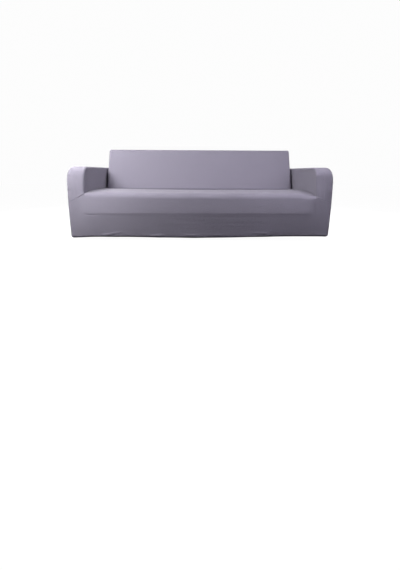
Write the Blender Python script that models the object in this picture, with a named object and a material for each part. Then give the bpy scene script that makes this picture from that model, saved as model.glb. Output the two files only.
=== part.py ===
"""Fitted three-seat slipcover of stretch knit: nine panels, modelled as the hollow shell they hang in.

Metres, +Z up. The design frame has x along the cover, y from the arm fronts to the rear and z up from the
floor. The finished part has its origin under the top of the backrest, where the cover hangs from.

The shape is one smooth body, written as a signed distance: a tapered block with rounded edges, a seat space
cut into it, and a reclined backrest added. A panel is a grid of seed points on the block's flat faces and
sharp edges; each point slides down the distance field onto the rounded body, so panels that share a seam
share its points and normals. Each panel is then given its thickness, half to either side.
"""

import math

import bmesh
import bpy
import numpy as np

# Outline of the cover
HALF_LENGTH = 1.1046
ARM_TOP = 0.6232
ARM_INNER = 0.958
BACK_HALF = 0.937
BACK_TOP = 0.811
REAR = 0.820
BACK_FOOT = 0.600
RECLINE = math.radians(12.0)
SEAT_TOP = 0.401
SLOT_MIDDLE = (ARM_INNER + BACK_HALF) / 2
SLOT_LEAD = 0.3

# Draw-in of each end, from arm height down to the hem: left, right
TAPER = {-1: 0.042, 1: 0.045}
TAPER_START = 0.50
TAPER_POWER = 1.27

# Rounded edges
ARM_ROLL = 0.081
ARM_SHOULDER = 0.038
SHOULDER_START = 0.5175
SHOULDER_RUN = 0.10
ARM_REAR_ROLL = 0.050
CORNER = 0.022
INSIDE_CORNER = 0.014
SEAT_ROLL = 0.042
SEAT_ROLL_END = 0.40
SEAT_ROLL_RUN = 0.20
EDGE = 0.018
BACK_EDGE = 0.012
CREASE = (ARM_INNER - BACK_HALF) / 2

# The backrest's form starts inside the seat, and its crease fades out before the rear
BACK_ROOT = 0.32
CREASE_END = 0.74
CREASE_END_RUN = 0.05

# Seat: crowned from front to rear, raised towards the arms, and pulled down where it meets their fronts
SEAT_CROWN = 0.012
SEAT_SIDE = {-1: 0.013, 1: 0.006}
SEAT_DROP = {-1: 0.013, 1: 0.033}
SEAT_DROP_REACH = 0.10
SEAT_DROP_START = 0.80

# Front: proudest at the lower edge of the seat cushion, leaning back above it, drawn in to the hem below it
CUSHION_FLOOR = 0.236
CUSHION_PROUD = 0.020
CUSHION_TOP = 0.400
CUSHION_LEAN_POWER = 1.2
STEP_DEPTH = 0.003
CUSHION_END = {-1: 1.020, 1: 1.000}
CUSHION_END_RUN = 0.140
CUSHION_EDGE = ARM_INNER - 0.005
CUSHION_EDGE_RUN = 0.09

# Step under that edge: sharp between its ends, and beyond them a slope that the cloth spans
STEP_HEIGHT = 0.012
STEP_END = {-1: 0.936, 1: 0.914}
STEP_END_RUN = 0.030
STEP_END_HEIGHT = 0.120

# Hem: lowest in the middle, slack at the left corner, turned under all round
HEM = 0.0368
HEM_RISE = 0.0100
HEM_TILT = 0.0030
HEM_RISE_REACH = 0.80
HEM_SLACK = {-1: 0.0035, 1: 0.0}
HEM_SLACK_START = 0.88
HEM_SLACK_RUN = 0.16
HEM_TURN = 0.030

# Slack folds along the front hem: middle, half width and depth of each
HEM_FOLDS = (
    {"middle": -0.72, "half_width": 0.060, "depth": 0.0050},
    {"middle": -0.35, "half_width": 0.040, "depth": 0.0035},
    {"middle": -0.06, "half_width": 0.070, "depth": 0.0050},
    {"middle": 0.52, "half_width": 0.065, "depth": 0.0055},
)
HEM_FOLD_HEIGHT = 0.045

# Facing let into each arm front, and the seam that runs out from the seat below it
FACING_INNER = 0.970
FACING_OUTER = 1.030
FACING_TOP = 0.577
APRON_SEAM_END = 0.335
APRON_SEAM_POWER = 1.5

# Cloth
CLOTH = 0.002
SEAM_GAP = 0.0003

# The cover hangs from the underside of its top panel
MOUNT = np.array([0.0, (BACK_FOOT + (BACK_TOP - SEAT_TOP) * math.tan(RECLINE) + REAR) / 2, BACK_TOP - CLOTH / 2])

CLOTH_COLOR = (0.33, 0.31, 0.37, 1.0)
CLOTH_ROUGHNESS = 0.9

# Direction that decides how both cut edges of a seam are split into triangles
DIAGONAL_RULE = np.array([1.0, 0.62, 0.38])

# Stations shared by neighbouring panels
MIDDLE_PLACES = (
    -0.85, -0.78, -0.72, -0.66, -0.53, -0.40, -0.35, -0.30, -0.15, -0.06,
    0.03, 0.15, 0.30, 0.45, 0.52, 0.59, 0.72, 0.85,
)
SEAT_ROWS = (BACK_FOOT, BACK_FOOT - CREASE, 0.50, 0.35, 0.20, 0.10, 0.06, 0.04, 0.02, 0.0)
FRONT_FRACTIONS = (0.23, 0.46, 1.0)
FRONT_FRACTION_FLOOR = 0.30
FRONT_HEIGHTS = (0.26, 0.244, 0.236, 0.228, 0.17, 0.11, 0.07)
REAR_HEIGHTS = (0.385, 0.36, 0.335, 0.31, 0.28, 0.24, 0.20, 0.16, 0.11, 0.07)
HEM_STEPS = (EDGE / 2, 0.0)
TURN_STEPS = (0.010, HEM_TURN)
BACK_HEIGHTS = (SEAT_TOP, SEAT_TOP + CREASE, 0.50, 0.60, 0.70, BACK_TOP - BACK_EDGE, BACK_TOP - BACK_EDGE / 2, BACK_TOP)
SLOT_ROWS = (0.70, REAR - BACK_EDGE, REAR - BACK_EDGE / 2, REAR)
INNER_HEIGHTS = (0.45, 0.49, 0.53, 0.57, ARM_TOP - INSIDE_CORNER, ARM_TOP - INSIDE_CORNER / 2, ARM_TOP)
TOP_PLACES = (0.975, 0.998, FACING_OUTER)
SHOULDER_PLACES = (1.060, 1.083, HALF_LENGTH)
OUTER_HEIGHTS = (0.602, 0.575, 0.520, 0.440, 0.358)
FACING_STEPS = 3
FACING_RUNS = len(INNER_HEIGHTS) + 1


def smooth(t):
    """Ease from 0 to 1 as t goes from 0 to 1."""
    t = np.clip(t, 0.0, 1.0)
    return t * t * (3.0 - 2.0 * t)


def by_side(table, x):
    """Value of a left and right pair on the side that x is on."""
    return np.where(x < 0.0, table[-1], table[1])


def round_join(a, b, radius):
    """Distance to what two shapes share, with the edge between them rounded."""
    corner = np.hypot(np.maximum(radius + a, 0.0), np.maximum(radius + b, 0.0))
    return np.minimum(-radius, np.maximum(a, b)) + corner


def round_add(a, b, radius):
    """Distance to two shapes together, with the crease between them filled to a radius."""
    corner = np.hypot(np.maximum(radius - a, 0.0), np.maximum(radius - b, 0.0))
    return np.maximum(radius, np.minimum(a, b)) - corner


def half_length(x, z):
    """Half the outside length: constant at arm height, drawing in towards the hem."""
    t = np.clip((z - HEM) / (TAPER_START - HEM), 0.0, 1.0)
    return HALF_LENGTH - by_side(TAPER, x) * (1.0 - t) ** TAPER_POWER


def hem_height(x):
    """Height of the hem: a shallow sag in the middle, a slight tilt, and slack cloth at a corner."""
    sag = 1.0 - np.cos(math.pi * np.minimum(np.abs(x) / HEM_RISE_REACH, 1.4))
    slack = by_side(HEM_SLACK, x) * smooth((np.abs(x) - HEM_SLACK_START) / HEM_SLACK_RUN)
    return HEM + HEM_RISE * sag / 2 + HEM_TILT * x - slack


def seat_height(x, y):
    """Height of the seat: crowned front to rear, and pulled down at the front beside each arm."""
    drop = by_side(SEAT_DROP, x) * np.exp(-np.maximum(y, 0.0) / SEAT_DROP_REACH)
    beside_arm = smooth((np.abs(x) - SEAT_DROP_START) / (ARM_INNER - SEAT_DROP_START))
    middle = BACK_FOOT / 2
    crown = SEAT_CROWN * np.maximum(1.0 - ((y - middle) / middle) ** 2, 0.0)
    return SEAT_TOP + crown + by_side(SEAT_SIDE, x) * (x / ARM_INNER) ** 2 - drop * beside_arm


def front_swell(x, z):
    """How far the front stands forward of the arm fronts: out to the cushion's lower edge, and the hem folds."""
    lean = np.clip((z - CUSHION_FLOOR) / (CUSHION_TOP - CUSHION_FLOOR), 0.0, 1.0)
    cushion = CUSHION_PROUD * (1.0 - lean**CUSHION_LEAN_POWER)
    below = (CUSHION_PROUD - STEP_DEPTH) * np.clip((z - HEM) / (CUSHION_FLOOR - HEM), 0.0, 1.0)
    along = smooth((by_side(CUSHION_END, x) - np.abs(x)) / CUSHION_END_RUN)
    spanned = smooth((np.abs(x) - by_side(STEP_END, x)) / STEP_END_RUN + 0.5)
    above = smooth((z - CUSHION_FLOOR) / (STEP_HEIGHT + (STEP_END_HEIGHT - STEP_HEIGHT) * spanned) + 0.5)
    swell = along * (cushion * above + below * (1.0 - above))
    low = np.exp(-np.maximum(z - HEM, 0.0) / HEM_FOLD_HEIGHT)
    for fold in HEM_FOLDS:
        swell = swell + fold["depth"] * low * np.exp(-(((x - fold["middle"]) / fold["half_width"]) ** 2))
    return swell


def back_front(z):
    """Depth of the backrest's reclined front."""
    return BACK_FOOT + (z - SEAT_TOP) * math.tan(RECLINE)


def body_distance(p):
    """Signed distance from seat and arms, negative inside: a rounded block, less the seat space."""
    x, y, z = p[..., 0], p[..., 1], p[..., 2]
    ends = np.abs(x) - half_length(x, z)
    block = round_join(-y - front_swell(x, z), z - ARM_TOP, ARM_ROLL)
    block = round_join(block, y - REAR, ARM_REAR_ROLL)
    block = round_join(block, ends, CORNER + (ARM_SHOULDER - CORNER) * smooth((z - SHOULDER_START) / SHOULDER_RUN))
    block = round_join(block, hem_height(x) - z, EDGE)
    seat_space = round_join(np.abs(x) - ARM_INNER, seat_height(x, y) - z, CREASE)
    at_seat_front = smooth((CUSHION_EDGE - np.abs(x)) / CUSHION_EDGE_RUN) * smooth((SEAT_ROLL_END - y) / SEAT_ROLL_RUN)
    return round_join(block, -seat_space, INSIDE_CORNER + (SEAT_ROLL - INSIDE_CORNER) * at_seat_front)


def cover_distance(p):
    """Signed distance from the whole covered form: seat and arms, plus the reclined backrest."""
    x, y, z = p[..., 0], p[..., 1], p[..., 2]
    back = round_join((back_front(z) - y) * math.cos(RECLINE), z - BACK_TOP, BACK_EDGE)
    back = round_join(back, y - REAR, BACK_EDGE)
    back = round_join(back, np.abs(x) - BACK_HALF, BACK_EDGE)
    back = np.maximum(back, BACK_ROOT - z)
    crease = CREASE * (1.0 - smooth((y - CREASE_END) / CREASE_END_RUN))
    return round_add(body_distance(p), back, crease)


def gradient(distance, p, step=2e-5):
    """Direction in which a distance grows fastest, by central differences."""
    columns = []
    for axis in np.eye(3) * step:
        columns.append((distance(p + axis) - distance(p - axis)) / (2 * step))
    return np.stack(columns, axis=-1)


def settle(seeds, distance=cover_distance, rounds=14):
    """Slide seed points onto a form, and give each its outward normal."""
    points = seeds.copy()
    for _ in range(rounds):
        slope = gradient(distance, points)
        square = np.maximum((slope**2).sum(axis=-1), 1e-6)
        points -= slope * (distance(points) / square)[..., None]
    slope = gradient(distance, points)
    return points, slope / np.linalg.norm(slope, axis=-1, keepdims=True)


def line(start, end, count):
    """Points from start to end in equal steps, ends included."""
    t = np.linspace(0.0, 1.0, count + 1)[:, None]
    return np.asarray(start) * (1.0 - t) + np.asarray(end) * t


def patch(bottom, top, left, right):
    """Grid that fills the space between four edges of points, blending opposite edges."""
    u = np.linspace(0.0, 1.0, len(bottom))[None, :, None]
    v = np.linspace(0.0, 1.0, len(left))[:, None, None]
    across = left[:, None] * (1 - u) + right[:, None] * u
    along = bottom[None] * (1 - v) + top[None] * v
    corners = bottom[0] * (1 - u) * (1 - v) + bottom[-1] * u * (1 - v) + top[0] * (1 - u) * v + top[-1] * u * v
    return across + along - corners


def back_columns():
    """Places along x shared by the seat, backrest and rear: closer at the hem folds and the rounded ends."""
    right = (BACK_HALF - BACK_EDGE, BACK_HALF - BACK_EDGE / 2, BACK_HALF)
    return np.array([-x for x in reversed(right)] + list(MIDDLE_PLACES) + list(right))


def apron_seam(side, x):
    """Height of the seam that runs from the front of the seat out across an arm front."""
    edge = float(half_length(side, APRON_SEAM_END))
    start = float(seat_height(side * ARM_INNER, 0.0))
    t = max((edge - x) / (edge - ARM_INNER), 0.0)
    return APRON_SEAM_END + (start - APRON_SEAM_END) * t**APRON_SEAM_POWER


def apron_seam_places(side):
    """Places along x of the points on that seam, from the seat to the outer corner."""
    facing = list(np.linspace(FACING_INNER, FACING_OUTER, FACING_STEPS + 1))
    edge = float(half_length(side, APRON_SEAM_END))
    outer = list(np.linspace(FACING_OUTER, edge, 4))[1:]
    return [ARM_INNER, (ARM_INNER + FACING_INNER) / 2] + facing + outer


def front_column(x, top):
    """Seeds down the front at one place along x, from a given top to the turned-under hem."""
    heights = [top] + [top + f * (FRONT_FRACTION_FLOOR - top) for f in FRONT_FRACTIONS] + list(FRONT_HEIGHTS)
    return hem_column(x, heights, 0.0, 1.0)


def hem_column(x, heights, wall, inward):
    """Seeds down a front or rear wall, round the hem and under it; ends of the wall keep to the corner."""
    side = math.copysign(1.0, x)
    reach = float(half_length(x, APRON_SEAM_END)) - ARM_INNER
    at_end = max((abs(x) - ARM_INNER) / reach, 0.0)
    foot = float(hem_height(x))
    points = []
    for z in list(heights) + [foot + step for step in HEM_STEPS]:
        end = float(half_length(x, z)) - float(half_length(x, APRON_SEAM_END))
        points.append((x + side * min(end, 0.0) * at_end, wall, z))
    end = float(half_length(x, foot)) - float(half_length(x, APRON_SEAM_END))
    for turn in TURN_STEPS:
        points.append((x + side * (end - turn) * at_end, wall + inward * turn, foot))
    return np.array(points)


def seat_column(x):
    """Seeds along the seat at one place along x, from the back to the front edge."""
    side = math.copysign(1.0, x)
    past_back = max(abs(x) - BACK_HALF, 0.0)
    points = []
    for y in SEAT_ROWS:
        turn = float(smooth((y - (BACK_FOOT - 2 * CREASE)) / (2 * CREASE)))
        place = x - side * turn * past_back / 2
        points.append((place, y + SLOT_LEAD * turn * past_back, float(seat_height(x, y))))
    return np.array(points)


def seat_front_blocks():
    """Seat, front roll and apron: one block between the arms and one below each arm front."""
    inner = [-ARM_INNER, -SLOT_MIDDLE] + list(back_columns()) + [SLOT_MIDDLE, ARM_INNER]
    middle = []
    for x in inner:
        seat = seat_column(x)
        middle.append(np.vstack([seat, front_column(x, seat[-1, 2])[1:]]))
    blocks = [np.array(middle)]
    for side in (-1, 1):
        columns = [front_column(side * x, apron_seam(side, x)) for x in apron_seam_places(side)]
        blocks.append(np.array(columns))
    return blocks


def back_inside_blocks():
    """Front of the backrest and its top, from the seat crease to the rear top edge."""
    columns = []
    for x in back_columns():
        foot = float(seat_height(x, BACK_FOOT))
        heights = (foot, foot + CREASE) + BACK_HEIGHTS[2:]
        front = [(x, BACK_FOOT if z == foot else back_front(z), z) for z in heights]
        top = [(x, y, BACK_TOP) for y in back_top_rows()]
        columns.append(front + top)
    return [np.array(columns)]


def back_top_rows():
    """Depths of the seeds across the backrest's top, behind its front edge."""
    start = back_front(BACK_TOP)
    first, last = start + BACK_EDGE, REAR - BACK_EDGE
    return (start + BACK_EDGE / 2, first, (first + last) / 2, last, REAR - BACK_EDGE / 2, REAR)


def gusset_blocks(side):
    """One end of the backrest, with its lower edge turned out across the gap beside the arm."""
    rows = []
    foot = float(seat_height(side * BACK_HALF, BACK_FOOT))
    seat_corner = np.array([seat_column(side * x)[0] for x in (BACK_HALF, SLOT_MIDDLE, ARM_INNER)])
    rows.append(np.vstack([seat_corner, slot_floor(side)]))
    for z in (foot + CREASE,) + BACK_HEIGHTS[2:]:
        start = back_front(z)
        first, last = start + BACK_EDGE, REAR - BACK_EDGE
        depths = (start, start + BACK_EDGE / 2, first, (first + last) / 2, last, REAR - BACK_EDGE / 2, REAR)
        rows.append(np.array([(side * BACK_HALF, y, z) for y in depths]))
    return [np.array(rows)]


def slot_floor(side):
    """Seeds along the floor of the gap between an arm and the backrest."""
    return np.array([(side * SLOT_MIDDLE, y, float(seat_height(side * ARM_INNER, y))) for y in SLOT_ROWS])


def facing_edges(side):
    """Edges of the arm-front facing: bottom, top, inner side and outer side, each as points."""
    places = np.linspace(FACING_INNER, FACING_OUTER, FACING_STEPS + 1)
    bottom = np.array([(side * x, 0.0, apron_seam(side, x)) for x in places])
    top = np.array([(side * x, 0.0, FACING_TOP) for x in places])
    rows = [inner_height(side, 0.0, row) for row in range(FACING_RUNS + 1)]
    share = (np.array(rows)[:, None] - rows[0]) / (rows[-1] - rows[0])
    inner = bottom[0] * (1 - share) + top[0] * share
    outer = line(bottom[-1], top[-1], FACING_RUNS)
    return bottom, top, inner, outer


def sleeve_row(front, edge, depths, squeeze=False):
    """Seeds of one row of a sleeve: from the front seam to the edge of the arm front, then back along y."""
    reach = float(np.linalg.norm(edge - front))
    first = depths[0]
    if squeeze:
        marks = (0.0, max(reach - 0.02, (reach + first) / 3), max(reach, (reach + first) * 2 / 3))
    else:
        marks = (0.0, max(reach - 0.02, reach / 2), reach)
    points = []
    for mark in marks:
        t = min(mark / reach, 1.0) if reach > 1e-6 else 1.0
        point = front * (1 - t) + edge * t
        point[1] += max(mark - reach, 0.0)
        points.append(point)
    return np.array(points + [edge + np.array([0.0, y, 0.0]) for y in depths])


def inner_height(side, y, row):
    """Height of one row up an arm's inner face: the first clears the crease, the others share what is left."""
    foot = float(seat_height(side * ARM_INNER, y))
    if row < 2:
        return foot + CREASE * row
    return foot + (INNER_HEIGHTS[row - 2] - SEAT_TOP) / (ARM_TOP - SEAT_TOP) * (ARM_TOP - foot)


def sleeve_blocks(side):
    """Inside, top and outside of one arm, wrapped forward to the facing and down to the side hem."""
    bottom, top, inner, outer = facing_edges(side)
    to_slot = list(SEAT_ROWS[::-1][1:-1])
    depths = to_slot + [float(seat_column(side * ARM_INNER)[0, 1])] + list(SLOT_ROWS)
    rows = [np.vstack([
        bottom[0],
        (bottom[0] + seat_column(side * ARM_INNER)[-1]) / 2,
        seat_column(side * ARM_INNER)[::-1],
        slot_floor(side),
    ])]
    rows[0][1, 2] = apron_seam(side, (ARM_INNER + FACING_INNER) / 2)
    for number, front in list(enumerate(inner))[1:]:
        edge = np.array([side * ARM_INNER, 0.0, inner_height(side, 0.0, number)])
        row = sleeve_row(front, edge, depths)
        row[3:, 2] = [inner_height(side, y, number) for y in depths]
        rows.append(row)
    for place, front in zip(TOP_PLACES, top[1:]):
        rows.append(sleeve_row(front, np.array([side * place, 0.0, ARM_TOP]), depths))
    shoulder = [(x, ARM_TOP) for x in SHOULDER_PLACES]
    shoulder += [(None, z) for z in OUTER_HEIGHTS]
    for (place, z), front in zip(shoulder, outer[::-1][1:]):
        x = float(half_length(side, z)) if place is None else place
        rows.append(sleeve_row(front, np.array([side * x, 0.0, z]), depths))
    seam = apron_seam_places(side)[-3:]
    for x, z in zip(seam, np.linspace(OUTER_HEIGHTS[-1], APRON_SEAM_END, 4)[1:]):
        front = np.array([side * x, 0.0, apron_seam(side, x)])
        edge = np.array([side * float(half_length(side, z)), 0.0, z])
        rows.append(sleeve_row(front, edge, depths, squeeze=True))
    corner = front_column(side * seam[-1], APRON_SEAM_END)
    for edge in corner[1 : len(corner) - len(TURN_STEPS)]:
        rows.append(sleeve_row(edge, edge, depths, squeeze=True))
    foot_x, foot_z = corner[-len(TURN_STEPS) - 1][0], corner[-len(TURN_STEPS) - 1][2]
    depth_row = np.array([0.0, depths[0] / 3, depths[0] * 2 / 3] + depths)
    for turn in TURN_STEPS:
        mitred = turn + (REAR - 2 * turn) * depth_row / REAR
        rows.append(np.array([(foot_x - side * turn, y, foot_z) for y in mitred]))
    sleeve = np.array(rows)
    sleeve[1:] = settle(sleeve[1:], body_distance)[0]
    return [sleeve]


def arm_rear_block(side, sleeve):
    """Rear of one arm: fills the plane inside the sleeve's rear edge, down to the rear hem."""
    rear_edge = sleeve[:, -1]
    inner_rows, top_columns = FACING_RUNS, len(TOP_PLACES) + len(SHOULDER_PLACES)
    inner_up = rear_edge[: inner_rows + 1]
    top = rear_edge[inner_rows : inner_rows + top_columns + 1]
    outer_down = rear_edge[inner_rows + top_columns :]
    inner_down = hem_column(side * SLOT_MIDDLE, (inner_up[0, 2],) + REAR_HEIGHTS, REAR, -1.0)
    left = np.vstack([inner_down[::-1], inner_up[1:]])
    right = outer_down[::-1]
    return patch(line(left[0], right[0], top_columns), top, left, right)


def back_outside_blocks(sleeves):
    """Rear of the backrest down to the hem, and the rear of each arm beside it."""
    columns = []
    places = back_columns()
    for x in places:
        at_edge = abs(x) == places[-1]
        low_x = math.copysign(SLOT_MIDDLE, x) if at_edge else x
        foot = float(seat_height(math.copysign(ARM_INNER, x) if at_edge else x, REAR))
        low = hem_column(low_x, (foot,) + REAR_HEIGHTS, REAR, -1.0)
        rise = float(seat_height(math.copysign(BACK_HALF, x), BACK_FOOT)) + CREASE
        high = [(x, REAR, z) for z in (rise,) + BACK_HEIGHTS[2:]]
        columns.append(np.vstack([low[::-1], high]))
    return [np.array(columns)] + [arm_rear_block(side, sleeves[side]) for side in (-1, 1)]


def panel_table():
    """Seed blocks of every panel, by node name."""
    panels = {"seat_front": seat_front_blocks(), "back_inside": back_inside_blocks()}
    sleeves = {}
    for side, name in ((-1, "left"), (1, "right")):
        sleeve = sleeve_blocks(side)
        sleeves[side] = sleeve[0]
        panels[f"arm_sleeve_{name}"] = sleeve
        bottom, top, inner, outer = facing_edges(side)
        panels[f"arm_front_{name}"] = [patch(bottom, top, inner, outer)]
        panels[f"back_gusset_{name}"] = gusset_blocks(side)
    panels["back_outside"] = back_outside_blocks(sleeves)
    return panels


def weld(blocks):
    """One set of points and four-sided faces from blocks of seeds that touch along their edges."""
    points, faces, start = [], [], 0
    for block in blocks:
        rows, columns = block.shape[:2]
        index = start + np.arange(rows * columns).reshape(rows, columns)
        points.append(block.reshape(-1, 3))
        faces.append(np.stack([index[:-1, :-1], index[1:, :-1], index[1:, 1:], index[:-1, 1:]], -1).reshape(-1, 4))
        start += rows * columns
    points = np.vstack(points)
    _, first, merged = np.unique(np.round(points, 6), axis=0, return_index=True, return_inverse=True)
    return points[first], [merged.reshape(-1)[block] for block in faces]


def turn_outward(points, normals, blocks):
    """Faces of all blocks, each block wound so that it looks the way its points' normals do."""
    turned = []
    for faces in blocks:
        a, b, c, d = (points[faces[:, k]] for k in range(4))
        looks = (np.cross(c - a, d - b) * normals[faces].sum(axis=1)).sum()
        turned.append(faces if looks > 0 else faces[:, ::-1])
    return np.vstack(turned)


def border(faces):
    """Border edges of a sheet, each directed so that the cloth is on its left."""
    pairs = np.vstack([np.stack([faces[:, k], faces[:, (k + 1) % 4]], axis=1) for k in range(4)])
    used = {tuple(pair) for pair in pairs}
    return np.array([pair for pair in pairs if (pair[1], pair[0]) not in used])


def draw_in_border(points, normals, edges):
    """Move border points into the cloth by half of the seam gap."""
    away = points[edges[:, 1]] - points[edges[:, 0]]
    away /= np.linalg.norm(away, axis=1, keepdims=True)
    inward = np.zeros_like(points)
    for end in (0, 1):
        np.add.at(inward, edges[:, end], np.cross(normals[edges[:, end]], away))
    length = np.linalg.norm(inward, axis=1, keepdims=True)
    on_border = length[:, 0] > 0
    unit = inward[on_border] / length[on_border]
    stretch = 2.0 / np.maximum(length[on_border], 1.0)
    points[on_border] += unit * stretch * SEAM_GAP / 2
    return points


def rim_faces(points, edges):
    """Triangles of the cut edge, split along the diagonal that the cloth across the seam also uses."""
    count = len(points)
    a, b = edges[:, 0], edges[:, 1]
    flip = ((points[a] - points[b]) @ DIAGONAL_RULE > 0)[:, None]
    first = np.where(flip, np.stack([b, a, b + count], 1), np.stack([b, a, a + count], 1))
    second = np.where(flip, np.stack([a, a + count, b + count], 1), np.stack([b, a + count, b + count], 1))
    return np.vstack([first, second])


def sheet_mesh(name, blocks):
    """Closed mesh of one panel: its middle surface moved half the cloth's thickness out and in, and rimmed."""
    seeds, faces = weld(blocks)
    points, normals = settle(seeds)
    faces = turn_outward(points, normals, faces)
    edges = border(faces)
    points = draw_in_border(points, normals, edges) - MOUNT
    count = len(points)
    short = np.linalg.norm(points[faces[:, 0]] - points[faces[:, 2]], axis=1)
    other = np.linalg.norm(points[faces[:, 1]] - points[faces[:, 3]], axis=1)
    faces[short > other] = np.roll(faces[short > other], 1, axis=1)
    triangles = np.vstack([faces[:, [0, 1, 2]], faces[:, [0, 2, 3]]])
    shell = np.vstack([points + normals * CLOTH / 2, points - normals * CLOTH / 2])
    mesh = bpy.data.meshes.new(name)
    sides = np.vstack([triangles, triangles[:, ::-1] + count, rim_faces(points, edges)])
    mesh.from_pydata(shell.tolist(), [], sides.tolist())
    return mesh


def tidy_mesh(mesh):
    """Drop points that no face uses, and shade the cloth smooth up to its rims."""
    work = bmesh.new()
    work.from_mesh(mesh)
    bmesh.ops.delete(work, geom=[v for v in work.verts if not v.link_faces], context="VERTS")
    work.to_mesh(mesh)
    work.free()
    mesh.shade_smooth()
    mesh.set_sharp_from_angle(angle=math.radians(50.0))


def knit_material(name):
    """Plain lilac-grey knit."""
    material = bpy.data.materials.new(name)
    material.use_nodes = True
    shader = material.node_tree.nodes["Principled BSDF"]
    shader.inputs["Base Color"].default_value = CLOTH_COLOR
    shader.inputs["Roughness"].default_value = CLOTH_ROUGHNESS
    return material


def main():
    """Build every panel as its own object."""
    for thing in list(bpy.data.objects):
        bpy.data.objects.remove(thing)
    for name, blocks in panel_table().items():
        mesh = sheet_mesh(name, blocks)
        tidy_mesh(mesh)
        mesh.materials.append(knit_material(f"{name}_knit"))
        panel = bpy.data.objects.new(name, mesh)
        bpy.context.collection.objects.link(panel)


main()
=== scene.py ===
"""Studio scene of a fitted three-seat slipcover of stretch knit, sewn from nine panels and hollow inside.

Every panel is a surface of two parameters. Its seed points lie on the flat faces and sharp edges of a plain
block form. Each seed slides down a distance field onto the rounded form, then moves along the surface's
normal by what the cloth does there: it tucks into seams, puckers beside them and folds where it is pulled.
The knit itself is a material that reads the cloth's own measure, in metres along and across the panel.
"""

import logging
import math
from dataclasses import dataclass, field
from enum import Enum

import bpy
import numpy as np
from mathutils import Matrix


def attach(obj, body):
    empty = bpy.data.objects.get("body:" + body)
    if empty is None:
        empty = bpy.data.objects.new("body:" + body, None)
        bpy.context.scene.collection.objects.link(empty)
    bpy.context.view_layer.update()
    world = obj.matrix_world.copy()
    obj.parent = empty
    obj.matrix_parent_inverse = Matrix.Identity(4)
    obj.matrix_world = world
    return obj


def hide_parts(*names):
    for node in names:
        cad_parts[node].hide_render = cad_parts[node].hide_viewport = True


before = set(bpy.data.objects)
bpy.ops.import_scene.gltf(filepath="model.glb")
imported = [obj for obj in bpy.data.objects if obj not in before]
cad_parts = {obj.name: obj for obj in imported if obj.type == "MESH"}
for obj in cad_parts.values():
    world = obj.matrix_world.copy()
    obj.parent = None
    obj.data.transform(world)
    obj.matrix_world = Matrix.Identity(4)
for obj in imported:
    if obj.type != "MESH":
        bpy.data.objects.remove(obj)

LOG = logging.getLogger("slipcover")
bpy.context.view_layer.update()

THICKNESS = 0.002  # thickness of the cloth, in metres
FAR = 9.0  # a distance beyond any seam's, in metres
HAIR = 1e-6  # a length or share too small to matter
MARK_DIGITS = 6  # decimals that tell two grid marks apart
POINT_DIGITS = 5  # decimals of a metre within which points are one
WHITE = (1.0, 1.0, 1.0)


class Side(Enum):
    """Which end of the cover a panel belongs to."""

    LEFT = -1
    RIGHT = 1

    @property
    def word(self) -> str:
        """The side's name, as the panels are named."""
        return self.name.lower()


class Rim(Enum):
    """What happens along one edge of a patch of cloth."""

    SEAM = "sewn to the next panel"
    HEM = "turned under and left free"
    JOIN = "runs on into another patch of the same panel"


def smooth(t: np.ndarray) -> np.ndarray:
    """Ease from 0 to 1: 3t^2 - 2t^3, with t held between 0 and 1."""
    t = np.clip(t, 0.0, 1.0)
    return t * t * (3.0 - 2.0 * t)


def round_join(a: np.ndarray, b: np.ndarray, radius: float | np.ndarray) -> np.ndarray:
    """Distance to what two shapes share, with the edge between them rounded.

    Args:
        a: distance to the first shape, negative inside.
        b: distance to the second shape.
        radius: radius of the rounded edge.

    Returns:
        min(-radius, max(a, b)) plus the length of (radius + a, radius + b) where those are positive.
    """
    corner = np.hypot(np.maximum(radius + a, 0.0), np.maximum(radius + b, 0.0))
    return np.minimum(-radius, np.maximum(a, b)) + corner


def round_add(a: np.ndarray, b: np.ndarray, radius: float | np.ndarray) -> np.ndarray:
    """Distance to two shapes together, with the crease between them filled.

    Args:
        a: distance to the first shape, negative inside.
        b: distance to the second shape.
        radius: radius of the filled crease.

    Returns:
        max(radius, min(a, b)) less the length of (radius - a, radius - b) where those are positive.
    """
    corner = np.hypot(np.maximum(radius - a, 0.0), np.maximum(radius - b, 0.0))
    return np.maximum(radius, np.minimum(a, b)) - corner


@dataclass(frozen=True)
class HemFold:
    """A slack fold along the front hem: middle, half width and depth, in metres."""

    middle: float
    half_width: float
    depth: float


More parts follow.
